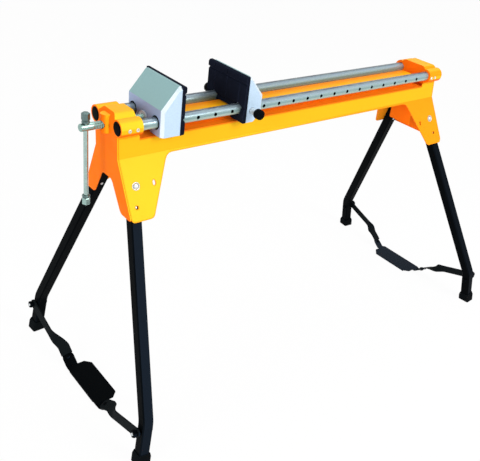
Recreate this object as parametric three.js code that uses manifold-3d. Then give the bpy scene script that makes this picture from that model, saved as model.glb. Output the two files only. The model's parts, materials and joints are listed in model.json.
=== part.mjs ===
// Folding clamping workbench: two chromed rails on a pressed steel beam, a screw-driven front jaw,
// a rear jaw that is pinned along the rails, and four folding legs with a foot plate at each end.
// Building frame in millimetres: x runs along the rails from the first lock hole, y goes across,
// z goes up from the floor. The finished group is centred over its own footprint.
import * as THREE from "three";
import { mergeVertices } from "three/addons/utils/BufferGeometryUtils.js";
import Module from "manifold-3d";

// Fits
const seatGap = 0.3; // between pieces that touch
const runGap = 0.5; // round a piece that slides or turns
const swingGap = 1.2; // beside a piece that swings past another
const cutMargin = 1; // cuts run past the faces they open

// Rails and lock holes
const railHeight = 759; // rail axis above the floor
const railSpacing = 98; // between the two rail axes
const railDiameter = 26;
const railWall = 2.5;
const holePitch = 50;
const holeCount = 17;
const holeDiameter = 9;

// Beam and its end towers
const sheet = 3; // pressed steel thickness
const bodyWidth = 100; // outside of the side panels
const frontOverhang = 206; // first lock hole to the front plate
const rearOverhang = 112; // last lock hole to the top of the rear plate
const headSeatDrop = 24; // rail axis down to the seat of the heads
const ledgeDrop = 32; // rail axis down to the ledge beside the ridge
const beamDepth = 47; // ledge down to the lower edge of the beam
const bendDrop = 74; // rail axis down to the bend where the skirts splay out
const splayAngle = 24.6; // skirts and legs from the vertical, in degrees
const skirtLength = 147; // down the slope, from the bend to the lower edge
const rootFillet = 14; // skirt edge into the beam's lower edge
const skirtCorner = 9; // rounding of the skirt's lower corners
const panSheet = 2.5;
const ridgeWidth = 52; // raised strip between the rails
const ridgeDrop = 2.5; // rail axis down to the top of the ridge
const ridgeStart = 150; // front plate to the start of the ridge
const ridgeEnd = 72; // end of the ridge to the top of the rear plate
const notchWidth = 44; // top of the notch in the front plate
const notchDrop = 133; // rail axis down to the top of the notch
const flangeWidth = 43; // strip of the front plate before each leg

// Front tower: draft of the plate, widths of the skirt, pivot and lean of the legs
const frontDraft = 1.7;
const frontSkirtFoot = 62;
const frontSkirtRoot = 131;
const frontPivotInset = 31.5;
const frontLean = 8.2;
const frontFold = 97.4; // fold angle of the front legs
const frontPlateTurn = 180; // turn of the front foot plate while its legs fold

// Rear tower
const rearDraft = -9.3;
const rearSkirtFoot = 70;
const rearSkirtRoot = 122;
const rearPivotInset = 34;
const rearLean = 14.7;
const rearFold = 95;
const rearPlateTurn = 180;

// Heads that hold the rails
const sleeveDiameter = 41;
const frontHeadLength = 55;
const rearHeadLength = 56;
const humpRise = 27; // rail axis up to the flat top of the heads
const frontHumpWidth = 45;
const rearHumpWidth = 76;
const humpSetback = 8; // slope of the hump's end face
const bossDiameter = 27;
const bossReach = 13; // boss in front of the front plate
const plugDiameter = 33;
const plugDepth = 9;
const plugDome = 2; // middle of a plug's face out of its sleeve
const plugDomeShare = 0.8; // of the plug's radius, at three quarters of the dome

// Lead screw and tommy bar
const screwDrop = 6; // rail axis down to the screw axis
const screwDiameter = 18;
const screwReach = 64; // front plate to the front end of the screw
const screwSeat = 24; // depth of the screw's end in the front jaw
const screwChamfer = 2;
const nutDiameter = 30;
const nutFlange = 2.5;
const collarDiameter = 34;
const collarThickness = 4;
const tommyInset = 15; // front end of the screw back to the tommy bar
const tommyDiameter = 11;
const tommyLength = 224;
const tommyCapDiameter = 18.5;
const tommyCapHeight = 24.5;
const tommyCapSeat = 18; // depth of the bar's end in its cap
const tommyCapChamfer = 2;

// Jaws
const jawWidth = 152;
const jawDepth = 50; // from the pad to the back
const jawTopRise = 85; // rail axis up to the top
const jawFootDrop = 29.5; // rail axis down to the lower edge
const jawShoulderRise = 34; // rail axis up to the foot of the sloped back
const jawCrest = 6; // flat top behind the pad
const jawBevel = 7; // round the two side faces
const rearToe = 20; // slope under the back of the rear jaw
const frontJawFace = 59; // front jaw's pad seat, ahead of the first lock hole
const lockSetback = 17; // rear jaw's pad seat to the lock pin
const lockHoleIndex = 3; // hole that the lock pin stands at
const channelGap = 2.5; // jaws clear of the ridge
const padThickness = 7;
const padLip = 4; // lips stand out from the face of the pad
const padLipHeight = 16;
const padGroove = 3.5;
const padOverhang = 1;
const bushWall = 2.5;
const bushDepth = 12;
const bushProud = 0.8;

// Lock pin of the rear jaw
const lockPinDiameter = 8;
const lockPinTravel = 13;
const lockPinChamfer = 1.5;
const lockHousingDiameter = 17;
const lockHousingReach = 17; // out of the jaw's side
const lockMouthWall = 2; // holds the spring in the housing
const lockKnobDiameter = 25;
const lockKnobLength = 18;
const lockKnobFace = 3.5; // solid end of the knob
const lockKnobChamfer = 2;
const lockCollarDiameter = 12;
const lockCollarLength = 2.5;
const lockSeatDepth = 7; // housing in the jaw
const springWire = 1;
const springTurns = 3.5;
const springPitch = 1.2; // pulled together

// Legs
const legTube = 28; // square tube
const legWall = 2;
const legCorner = 3;
const pivotDrop = 65.5; // down the slope, from the bend to the pivot bolt
const legHead = 22; // leg above its pivot
const legBend = 20; // degrees
const legBendHeight = 117; // bend above the floor
const legBendRadius = 60;
const boltDiameter = 8;
const boltHeadDiameter = 14;
const boltHeadHeight = 5;
const boltNutHeight = 7;
const boltEnd = 2; // thread beyond a pivot bolt's nut
const boltDomeShare = 0.85; // of the head's radius, half way up its dome
const boltChamferShare = 0.7; // of the head's radius, at its top
const buttonReach = 48.5; // pivot to the snap button
const buttonDiameter = 6.4;
const buttonTravel = 4.5;
const buttonCollar = 1.5; // step that keeps a button in its tube
const buttonCollarHeight = 2;
const buttonChamfer = 1;
const buttonHole = 9; // in the skirt, for the open leg
const foldSlotLength = 14; // in the skirt, for the folded leg
const foldSlotRound = 0.9; // of the slot's half width, cut off its corners
const footWidth = 36;
const footHeight = 30;
const footSole = 9; // solid rubber under the tube
const footTaper = 8; // sloped shoulder at the top of a foot
const footRim = 2; // wall at the mouth of a foot

// Spreader links and foot plates
const linkWidth = 25; // at the leg
const linkFootWidth = 32; // at the foot plate
const linkThickness = 4;
const linkBoltHeight = 92; // above the floor
const linkBoltReach = 9; // bolt end and nut outside the link
const linkTwistStart = 0.6; // share of the link's length
const pedalWidth = 68;
const pedalSpan = 216; // between its two rivets
const pedalHeight = 10; // top of the plate above the floor
const pedalSheet = 3;
const pedalLip = 6;
const pedalCorner = 16;
const tabRise = 13; // rivet above the top of the foot plate
const tabReach = 25; // rivet to the end of the foot plate's level part
const tabBend = 6; // end of the link to the bend of the tab
const rivetDiameter = 6;
const rivetHeadDiameter = 13;
const rivetHeadHeight = 2.5;
const rivetCrownShare = 0.6; // of the head's radius, at its top
const linkStandoff = footWidth / 2 + swingGap; // middle of the leg to the link

// Facets
const roundSides = 20;
const knobSides = 16;
const smallSides = 8;
const arcSteps = 3;
const cornerSteps = 1;
const coilSteps = 6;
const wireSides = 5;
const bendSteps = 3;
const twistSteps = 5;
const swingFrom = 20; // span searched for the swing of a folded link
const swingTo = 140;
const swingPasses = 50;
const weldReach = 1e-4; // points nearer than this become one
const roundEnd = [0, 0.5, 0.8, 0.96]; // stations round the end of a strap, as shares of its half width

// Heights and stations that follow from the sizes above
const rad = THREE.MathUtils.degToRad;
const axisX = new THREE.Vector3(1, 0, 0);
const axisY = new THREE.Vector3(0, 1, 0);
const axisZ = new THREE.Vector3(0, 0, 1);
const splay = rad(splayAngle);
const halfBody = bodyWidth / 2;
const railY = railSpacing / 2;
const seatZ = railHeight - headSeatDrop;
const ledgeZ = railHeight - ledgeDrop;
const beamFootZ = ledgeZ - beamDepth;
const bendZ = railHeight - bendDrop;
const screwZ = railHeight - screwDrop;
const frontX = -frontOverhang;
const rearX = (holeCount - 1) * holePitch + rearOverhang;
const skirtFootZ = bendZ - skirtLength * Math.cos(splay);
const skirtNormal = new THREE.Vector3(0, -Math.cos(splay), Math.sin(splay));

// The two ends of the bench: outward is -1 at the front and +1 at the rear.
const ends = {
  front: {
    outward: -1,
    plateX: frontX,
    draft: rad(frontDraft),
    notched: true,
    skirtFoot: frontSkirtFoot,
    skirtRoot: frontSkirtRoot,
    pivotInset: frontPivotInset,
    lean: rad(frontLean),
    fold: rad(frontFold),
    plateTurn: rad(frontPlateTurn),
  },
  rear: {
    outward: 1,
    plateX: rearX,
    draft: rad(rearDraft),
    notched: false,
    skirtFoot: rearSkirtFoot,
    skirtRoot: rearSkirtRoot,
    pivotInset: rearPivotInset,
    lean: rad(rearLean),
    fold: rad(rearFold),
    plateTurn: rad(rearPlateTurn),
  },
};

const wasm = await Module();
wasm.setup();

// Solid from a closed geometry, with its faces turned outward.
function solidFrom(geometry) {
  const bare = geometry.clone();
  bare.deleteAttribute("normal");
  bare.deleteAttribute("uv");
  const merged = mergeVertices(bare, weldReach);
  const corners = [];
  const index = merged.index.array;
  for (let i = 0; i < index.length; i += 3) {
    const [a, b, c] = index.slice(i, i + 3);
    if (a !== b && b !== c && c !== a) corners.push(a, b, c);
  }
  const vertProperties = merged.attributes.position.array;
  const make = (triVerts) => new wasm.Manifold(new wasm.Mesh({ numProp: 3, vertProperties, triVerts }));
  const made = make(Uint32Array.from(corners));
  if (made.volume() > 0) return made;
  return make(Uint32Array.from(corners).reverse());
}

function geometryFrom(solid) {
  const mesh = solid.getMesh();
  const geometry = new THREE.BufferGeometry();
  geometry.setAttribute("position", new THREE.BufferAttribute(mesh.vertProperties, mesh.numProp));
  geometry.setIndex(new THREE.BufferAttribute(mesh.triVerts, 1));
  geometry.computeVertexNormals();
  return geometry;
}

// Closed outline. A third number on a point is the length over which its corner is rounded.
function outline(points) {
  const shape = new THREE.Shape();
  points.forEach(([u, v, setback = 0], i) => {
    const corner = new THREE.Vector2(u, v);
    const before = new THREE.Vector2(...points.at(i - 1)).sub(corner).setLength(setback).add(corner);
    const next = points[(i + 1) % points.length];
    const after = new THREE.Vector2(...next).sub(corner).setLength(setback).add(corner);
    if (i === 0) shape.moveTo(before.x, before.y);
    else shape.lineTo(before.x, before.y);
    if (setback > 0) shape.quadraticCurveTo(u, v, after.x, after.y);
  });
  return shape;
}

function prism(shape, depth, basis, position) {
  const options = { depth, bevelEnabled: false, curveSegments: arcSteps };
  const geometry = new THREE.ExtrudeGeometry(shape, options);
  const place = new THREE.Matrix4().makeBasis(...basis).setPosition(position);
  return solidFrom(geometry.applyMatrix4(place));
}

// Prisms of an outline given in (y, z), (x, z) or (x, y).
function prismX(points, from, to) {
  return prism(outline(points), to - from, [axisY, axisZ, axisX], axisX.clone().multiplyScalar(from));
}

function prismY(points, from, to) {
  const back = axisY.clone().negate();
  return prism(outline(points), to - from, [axisX, axisZ, back], axisY.clone().multiplyScalar(to));
}

function prismZ(points, from, to) {
  return prism(outline(points), to - from, [axisX, axisY, axisZ], axisZ.clone().multiplyScalar(from));
}

function block(low, high) {
  const rectangle = [
    [low[0], low[1]],
    [high[0], low[1]],
    [high[0], high[1]],
    [low[0], high[1]],
  ];
  return prismZ(rectangle, low[2], high[2]);
}

// Revolved solid: the profile is [distance along the axis, radius] from a point in a direction.
function revolve(profile, origin, direction, sides = roundSides) {
  const points = profile.map(([along, radius]) => new THREE.Vector2(radius, along));
  const geometry = new THREE.LatheGeometry(points, sides);
  const turn = new THREE.Quaternion().setFromUnitVectors(axisY, direction.clone().normalize());
  const place = new THREE.Matrix4().compose(origin, turn, new THREE.Vector3(1, 1, 1));
  return solidFrom(geometry.applyMatrix4(place));
}

function rod(origin, direction, from, to, diameter, sides = roundSides) {
  const r = diameter / 2;
  const profile = [
    [from, 0],
    [from, r],
    [to, r],
    [to, 0],
  ];
  return revolve(profile, origin, direction, sides);
}

// Solid through a row of convex rings with equal numbers of points.
function loft(rings) {
  const count = rings[0].length;
  const position = rings.flat().flatMap((p) => [p.x, p.y, p.z]);
  const index = [];
  for (let ring = 0; ring + 1 < rings.length; ring++) {
    for (let i = 0; i < count; i++) {
      const a = ring * count + i;
      const b = ring * count + ((i + 1) % count);
      index.push(a, b, b + count, a, b + count, a + count);
    }
  }
  const last = (rings.length - 1) * count;
  for (let i = 1; i + 1 < count; i++) {
    index.push(0, i + 1, i);
    index.push(last, last + i, last + i + 1);
  }
  const geometry = new THREE.BufferGeometry();
  geometry.setAttribute("position", new THREE.Float32BufferAttribute(position, 3));
  geometry.setIndex(index);
  return solidFrom(geometry);
}

// Ring of a square tube with rounded corners, round a centre and two section axes.
function squareRing(centre, a, b, width, corner) {
  const half = width / 2 - corner;
  const ring = [];
  for (let quarter = 0; quarter < 4; quarter++) {
    const middle = (quarter + 0.5) * (Math.PI / 2);
    const su = Math.sign(Math.cos(middle));
    const sv = Math.sign(Math.sin(middle));
    for (let step = 0; step <= cornerSteps; step++) {
      const angle = (quarter + step / cornerSteps) * (Math.PI / 2);
      const u = su * half + corner * Math.cos(angle);
      const v = sv * half + corner * Math.sin(angle);
      ring.push(centre.clone().addScaledVector(a, u).addScaledVector(b, v));
    }
  }
  return ring;
}

// Point by the near skirt: x along the bench, s down the slope from the bend, n outward.
function bySkirt(x, s, n) {
  const y = -(halfBody + s * Math.sin(splay) + n * Math.cos(splay));
  return new THREE.Vector3(x, y, bendZ - s * Math.cos(splay) + n * Math.sin(splay));
}

// Outer face of an end plate at a height.
function plateFace(end, z) {
  return end.plateX - end.outward * (seatZ - z) * Math.tan(end.draft);
}

// The assembly
const bench = new THREE.Group();
const farSide = new THREE.Group();
farSide.scale.y = -1;
bench.add(farSide);

const finishes = {
  paint: [0xf7b21c, 0.42, 0.1],
  chrome: [0xb4c8cc, 0.22, 0.9],
  aluminium: [0xc3d2da, 0.4, 0.7],
  zinc: [0xbfc6c8, 0.35, 0.8],
  blackPaint: [0x15181c, 0.5, 0.2],
  rubber: [0x14161a, 0.8, 0],
  plastic: [0x101214, 0.6, 0],
  bronze: [0x9a7a45, 0.45, 0.7],
};

function place(name, solid, finish, group = bench) {
  const [color, roughness, metalness] = finishes[finish];
  const material = new THREE.MeshStandardMaterial({ color, roughness, metalness });
  const mesh = new THREE.Mesh(geometryFrom(solid), material);
  mesh.name = name;
  group.add(mesh);
}

// The same piece on the near side and, mirrored, on the far side.
function placePair(name, solid, finish) {
  place(`${name}_near`, solid, finish);
  place(`${name}_far`, solid, finish, farSide);
}

// Legs: stations, directions and the fold axis of one near leg.
function legLine(end) {
  const side = -(sheet + swingGap + legTube / 2);
  const pivotZ = bySkirt(0, pivotDrop, 0).z;
  const pivotX = plateFace(end, pivotZ) - end.outward * end.pivotInset;
  const across = Math.sin(end.lean) * end.outward;
  const down = new THREE.Vector3(
    across,
    -Math.sin(splay) * Math.cos(end.lean),
    -Math.cos(splay) * Math.cos(end.lean),
  );
  const inward = skirtNormal.clone().negate();
  const outer = down.clone().cross(inward);
  outer.multiplyScalar(Math.sign(outer.x) * end.outward);
  const pivot = bySkirt(pivotX, pivotDrop, side);
  const turn = rad(legBend);
  const reach = legBendRadius * Math.tan(turn / 2);
  const bendLength = (pivot.z - legBendHeight) / -down.z;
  const bend = pivot.clone().addScaledVector(down, bendLength);
  const lower = down.clone().multiplyScalar(Math.cos(turn)).addScaledVector(inward, Math.sin(turn));
  const lowerInward = inward.clone().multiplyScalar(Math.cos(turn)).addScaledVector(down, -Math.sin(turn));
  const atHeight = (z) => bend.clone().addScaledVector(lower, (bend.z - z) / -lower.z);
  const upper = { pivotX, pivot, down, inward, outer };
  return { ...upper, turn, reach, bendLength, bend, lower, lowerInward, atHeight };
}

// Rings down a leg from one height above its pivot to the tube's lower end.
function legRings(leg, head, footZ, width, corner) {
  const rings = [];
  const start = leg.pivot.clone().addScaledVector(leg.down, -head);
  rings.push(squareRing(start, leg.inward, leg.outer, width, corner));
  const bendCentre = leg.bend.clone().addScaledVector(leg.down, -leg.reach);
  bendCentre.addScaledVector(leg.inward, legBendRadius);
  const steps = bendSteps;
  for (let step = 0; step <= steps; step++) {
    const angle = (leg.turn * step) / steps;
    const axis = leg.inward.clone().multiplyScalar(Math.cos(angle));
    axis.addScaledVector(leg.down, -Math.sin(angle));
    const centre = bendCentre.clone().addScaledVector(axis, -legBendRadius);
    rings.push(squareRing(centre, axis, leg.outer, width, corner));
  }
  rings.push(squareRing(leg.atHeight(footZ), leg.lowerInward, leg.outer, width, corner));
  return rings;
}

// Where the snap button meets the skirt when the leg is turned by an angle.
function buttonSpot(end, leg, turned) {
  const angle = end.lean - turned;
  const x = leg.pivotX + end.outward * buttonReach * Math.sin(angle);
  return [x, pivotDrop + buttonReach * Math.cos(angle)];
}

const legs = { front: legLine(ends.front), rear: legLine(ends.rear) };

// Side panel: a bent sheet cut to the outline of the beam and its two towers.
function sidePanel() {
  const topZ = seatZ - seatGap;
  const panSeat = ledgeZ - panSheet - seatGap;
  const innerBend = bendZ - sheet * Math.tan(splay / 2);
  const low = bySkirt(0, skirtLength + sheet, 0);
  const lowInner = bySkirt(0, skirtLength + sheet, -sheet);
  const bent = [
    [-halfBody, seatZ],
    [-halfBody, bendZ],
    [low.y, low.z],
    [lowInner.y, lowInner.z],
    [-halfBody + sheet, innerBend],
    [-halfBody + sheet, seatZ],
  ];
  const edge = (end, z) => plateFace(end, z) - end.outward * (sheet / Math.cos(end.draft) + seatGap);
  const { front, rear } = ends;
  const cut = [
    [edge(front, topZ), topZ],
    [frontX + frontHeadLength + sheet, topZ],
    [frontX + frontHeadLength + sheet, panSeat],
    [rearX - rearHeadLength - sheet, panSeat],
    [rearX - rearHeadLength - sheet, topZ],
    [edge(rear, topZ), topZ],
    [edge(rear, skirtFootZ), skirtFootZ, skirtCorner],
    [plateFace(rear, skirtFootZ) - rear.skirtFoot, skirtFootZ, skirtCorner],
    [rearX - rear.skirtRoot, beamFootZ, rootFillet],
    [frontX + front.skirtRoot, beamFootZ, rootFillet],
    [plateFace(front, skirtFootZ) + front.skirtFoot, skirtFootZ, skirtCorner],
    [edge(front, skirtFootZ), skirtFootZ, skirtCorner],
  ];
  let panel = prismX(bent, frontX, plateFace(rear, skirtFootZ));
  panel = panel.intersect(prismY(cut, low.y - sheet, 0));
  for (const [key, end] of Object.entries(ends)) {
    const leg = legs[key];
    const hole = (x, s, diameter) =>
      rod(bySkirt(x, s, 0), skirtNormal, -2 * sheet, 2 * sheet, diameter, smallSides);
    panel = panel.subtract(hole(leg.pivotX, pivotDrop, boltDiameter + 2 * runGap));
    panel = panel.subtract(hole(...buttonSpot(end, leg, 0), buttonHole));
    panel = panel.subtract(foldSlot(end, leg));
  }
  return panel;
}

// Upright slot that takes the snap button of the folded leg.
function foldSlot(end, leg) {
  const [x, s] = buttonSpot(end, leg, end.fold);
  const half = (buttonDiameter + 2 * runGap) / 2;
  const reach = foldSlotLength / 2;
  const corner = half * foldSlotRound;
  const ring = (n) => [
    bySkirt(x - half, s - reach + corner, n),
    bySkirt(x - half + corner, s - reach, n),
    bySkirt(x + half - corner, s - reach, n),
    bySkirt(x + half, s - reach + corner, n),
    bySkirt(x + half, s + reach - corner, n),
    bySkirt(x + half - corner, s + reach, n),
    bySkirt(x - half + corner, s + reach, n),
    bySkirt(x - half, s + reach - corner, n),
  ];
  return loft([ring(-2 * sheet), ring(2 * sheet)]);
}

// End plate: closes the beam's end and covers the legs' fronts. The front one is notched between them.
function endPlate(end) {
  const topZ = seatZ - seatGap;
  const tall = (z) => topZ + (z - topZ) / Math.cos(end.draft);
  const outerY = (z) => halfBody + (bendZ - z) * Math.tan(splay);
  const notchZ = railHeight - notchDrop;
  const lipZ = skirtFootZ + sheet;
  const half = [
    [halfBody, topZ],
    [halfBody, tall(bendZ)],
    [outerY(lipZ), tall(lipZ), skirtCorner],
  ];
  if (end.notched) {
    half.push([outerY(lipZ) - flangeWidth / Math.cos(splay), tall(lipZ), skirtCorner]);
    half.push([notchWidth / 2, tall(notchZ), skirtCorner]);
  }
  const other = half.map(([y, z, setback]) => [-y, z, setback]).reverse();
  const flat = end.outward < 0 ? [0, sheet] : [-sheet, 0];
  const plate = prismX([...half, ...other], ...flat);
  const tilt = THREE.MathUtils.radToDeg(end.outward * end.draft);
  return plate.translate([0, 0, -topZ]).rotate([0, tilt, 0]).translate([end.plateX, 0, topZ]);
}

// Hat section between the heads: ledges on the side panels and the ridge between the rails.
function topPan() {
  const from = frontX + frontHeadLength + sheet + seatGap;
  const to = rearX - rearHeadLength - sheet - seatGap;
  const ridgeZ = railHeight - ridgeDrop;
  const ridge = ridgeWidth / 2;
  const under = ledgeZ - panSheet;
  const hat = (wall, top, foot) => [
    [-ridge + wall, foot],
    [-ridge + wall, top, panSheet / 2],
    [ridge - wall, top, panSheet / 2],
    [ridge - wall, foot],
  ];
  const flat = block([from, -halfBody, under], [to, halfBody, ledgeZ]);
  const [ridgeFrom, ridgeTo] = [frontX + ridgeStart, rearX - ridgeEnd];
  const outer = prismX(hat(0, ridgeZ, under), ridgeFrom, ridgeTo);
  const hollow = hat(panSheet, ridgeZ - panSheet, under - cutMargin);
  const inner = prismX(hollow, ridgeFrom + panSheet, ridgeTo - panSheet);
  return flat.add(outer).subtract(inner);
}

// Head: two sleeves on the rails with a flat-topped bridge between them, and a crease where they meet.
function head(end, length, humpWidth) {
  const outerX = end.plateX;
  const innerX = end.plateX - end.outward * length;
  const [from, to] = [Math.min(outerX, innerX), Math.max(outerX, innerX)];
  const topZ = railHeight + humpRise;
  const sleeveTop = railHeight + sleeveDiameter / 2;
  const creaseY = (humpWidth / 2 + railY) / 2;
  const creaseZ = railHeight + Math.sqrt((sleeveDiameter / 2) ** 2 - (railY - creaseY) ** 2);
  const bridge = [
    [-halfBody, seatZ],
    [halfBody, seatZ],
    [halfBody, railHeight],
    [creaseY, creaseZ],
    [humpWidth / 2, topZ, humpSetback / 2],
    [-humpWidth / 2, topZ, humpSetback / 2],
    [-creaseY, creaseZ],
    [-halfBody, railHeight],
  ];
  let solid = prismX(bridge, from, to);
  const slope = [
    [outerX, topZ + cutMargin],
    [outerX - end.outward * humpSetback, topZ + cutMargin],
    [outerX - end.outward * humpSetback, topZ],
    [outerX, sleeveTop - humpSetback],
    [outerX + end.outward * cutMargin, sleeveTop - humpSetback],
    [outerX + end.outward * cutMargin, topZ + cutMargin],
  ];
  solid = solid.subtract(prismY(slope, -halfBody, halfBody));
  for (const y of [-railY, railY]) {
    const onRail = new THREE.Vector3(0, y, railHeight);
    solid = solid.add(rod(onRail, axisX, from, to, sleeveDiameter));
  }
  const bore = railDiameter + 2 * seatGap;
  for (const y of [-railY, railY]) {
    const onRail = new THREE.Vector3(0, y, railHeight);
    solid = solid.subtract(rod(onRail, axisX, from - cutMargin, to + cutMargin, bore));
    const deepX = outerX - end.outward * (plugDepth + seatGap);
    const mouth = [outerX + end.outward * cutMargin, deepX].sort((a, b) => a - b);
    solid = solid.subtract(rod(onRail, axisX, ...mouth, plugDiameter + 2 * seatGap));
  }
  return solid;
}

function frontHead() {
  const onScrew = new THREE.Vector3(0, 0, screwZ);
  const bossFoot = new THREE.Vector3(frontX - bossReach + bossDiameter / 2, 0, 0);
  const bossTop = railHeight + humpRise - humpSetback;
  let solid = head(ends.front, frontHeadLength, frontHumpWidth);
  solid = solid.add(rod(bossFoot, axisZ, seatZ, bossTop, bossDiameter));
  const rear = frontX + frontHeadLength + cutMargin;
  solid = solid.subtract(rod(onScrew, axisX, frontX - 2 * bossReach, rear, screwDiameter + 4 * runGap));
  return solid.subtract(rod(onScrew, axisX, frontX, rear, nutDiameter + 2 * seatGap));
}

function placeBody() {
  placePair("side_panel", sidePanel(), "paint");
  place("front_plate", endPlate(ends.front), "paint");
  place("rear_plate", endPlate(ends.rear), "paint");
  place("top_pan", topPan(), "paint");
  place("front_head", frontHead(), "paint");
  place("rear_head", head(ends.rear, rearHeadLength, rearHumpWidth), "paint");
}

// Rail tube with the row of lock holes in its outer wall.
function railTube() {
  const onRail = new THREE.Vector3(0, -railY, railHeight);
  const from = frontX + plugDepth + 2 * seatGap;
  const to = rearX - plugDepth - 2 * seatGap;
  let tube = rod(onRail, axisX, from, to, railDiameter);
  const bore = railDiameter - 2 * railWall;
  tube = tube.subtract(rod(onRail, axisX, from - cutMargin, to + cutMargin, bore));
  for (let k = 0; k < holeCount; k++) {
    const spot = new THREE.Vector3(k * holePitch, -railY, railHeight);
    tube = tube.subtract(rod(spot, axisY, -railDiameter, 0, holeDiameter, smallSides));
  }
  return tube;
}

// Plug with a shallow domed face, pushed into the outer end of a sleeve.
function railPlug(end) {
  const origin = new THREE.Vector3(end.plateX, -railY, railHeight);
  const r = plugDiameter / 2;
  const dome = [
    [-plugDepth, 0],
    [-plugDepth, r],
    [0, r],
    [plugDome * 0.75, r * plugDomeShare],
    [plugDome, 0],
  ];
  return revolve(dome, origin, axisX.clone().multiplyScalar(end.outward));
}

function placeRails() {
  placePair("rail", railTube(), "chrome");
  placePair("rail_plug_front", railPlug(ends.front), "plastic");
  placePair("rail_plug_rear", railPlug(ends.rear), "plastic");
}

// Lead screw group
const jawBackX = -frontJawFace - jawDepth;
const screwFrontX = frontX - screwReach;
const tommyX = screwFrontX + tommyInset;
const tommyTopZ = screwZ + screwDiameter / 2 + runGap + tommyCapHeight;
const tommyTravel = tommyLength - 2 * tommyCapHeight - screwDiameter - 2 * runGap;

function leadScrew() {
  const onScrew = new THREE.Vector3(0, 0, screwZ);
  const r = screwDiameter / 2;
  const profile = [
    [screwFrontX, 0],
    [screwFrontX, r - screwChamfer],
    [screwFrontX + screwChamfer, r],
    [jawBackX + screwSeat - screwChamfer, r],
    [jawBackX + screwSeat, r - screwChamfer],
    [jawBackX + screwSeat, 0],
  ];
  const eye = new THREE.Vector3(tommyX, 0, screwZ);
  const crossHole = rod(eye, axisZ, -screwDiameter, screwDiameter, tommyDiameter + 2 * runGap);
  return revolve(profile, onScrew, axisX).subtract(crossHole);
}

// Flanged nut, pressed into the front head from behind.
function screwNut() {
  const onScrew = new THREE.Vector3(0, 0, screwZ);
  const rear = frontX + frontHeadLength;
  const flangeX = rear + seatGap;
  const body = rod(onScrew, axisX, frontX + seatGap, flangeX + nutFlange / 2, nutDiameter);
  const flange = rod(onScrew, axisX, flangeX, flangeX + nutFlange, nutDiameter + 2 * nutFlange);
  const bore = rod(onScrew, axisX, frontX, rear + 3 * nutFlange, screwDiameter + 2 * runGap);
  return body.add(flange).subtract(bore);
}

function thrustCollar() {
  const onScrew = new THREE.Vector3(0, 0, screwZ);
  const to = jawBackX - seatGap;
  const ring = rod(onScrew, axisX, to - collarThickness, to, collarDiameter);
  const bore = screwDiameter + 2 * runGap;
  return ring.subtract(rod(onScrew, axisX, to - 2 * collarThickness, to + cutMargin, bore));
}

// Cap on an end of the tommy bar: the open side looks along the direction given.
function tommyCap(endZ, direction) {
  const origin = new THREE.Vector3(tommyX, 0, endZ);
  const r = tommyCapDiameter / 2;
  const chamfer = tommyCapChamfer;
  const bore = tommyDiameter / 2 + seatGap;
  const profile = [
    [0, 0],
    [0, r - chamfer],
    [chamfer, r],
    [tommyCapHeight - chamfer / 2, r],
    [tommyCapHeight, r - chamfer / 2],
    [tommyCapHeight, bore],
    [tommyCapHeight - tommyCapSeat, bore],
    [tommyCapHeight - tommyCapSeat, 0],
  ];
  return revolve(profile, origin, direction, roundSides);
}

function placeScrew() {
  const lowZ = tommyTopZ - tommyLength;
  const core = tommyCapHeight - tommyCapSeat + seatGap;
  const onBar = new THREE.Vector3(tommyX, 0, 0);
  place("lead_screw", leadScrew(), "chrome");
  place("screw_nut", screwNut(), "bronze");
  place("thrust_collar", thrustCollar(), "zinc");
  place("tommy_bar", rod(onBar, axisZ, lowZ + core, tommyTopZ - core, tommyDiameter), "chrome");
  place("tommy_cap_upper", tommyCap(tommyTopZ, axisZ.clone().negate()), "zinc");
  place("tommy_cap_lower", tommyCap(lowZ, axisZ), "zinc");
}

// Jaw casting. Its face looks along +x or -x; toe is the slope under its back.
function jawCasting(faceX, look, toe) {
  const topZ = railHeight + jawTopRise;
  const footZ = railHeight - jawFootDrop;
  const shoulderZ = railHeight + jawShoulderRise;
  const side = (y, inset) => {
    const back = faceX - look * (jawDepth - inset);
    const points = [
      [faceX, footZ],
      [faceX, topZ - inset],
      [faceX - look * jawCrest, topZ - inset],
      [back, shoulderZ - inset / 2],
      [back, footZ + toe],
      [back + look * Math.max(toe, inset), footZ],
    ];
    return points.map(([x, z]) => new THREE.Vector3(x, y, z));
  };
  const half = jawWidth / 2;
  const nearSide = [side(-half, jawBevel), side(jawBevel - half, 0)];
  const body = loft([...nearSide, side(half - jawBevel, 0), side(half, jawBevel)]);
  const channel = ridgeWidth / 2 + channelGap;
  const deep = 2 * jawDepth;
  const roof = railHeight - ridgeDrop + channelGap;
  return body.subtract(block([faceX - deep, -channel, footZ - cutMargin], [faceX + deep, channel, roof]));
}

// Bores of a jaw on both rails.
function boreOnRails(solid, from, to, diameter) {
  let cut = solid;
  for (const y of [-railY, railY]) {
    cut = cut.subtract(rod(new THREE.Vector3(0, y, railHeight), axisX, from, to, diameter));
  }
  return cut;
}

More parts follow.
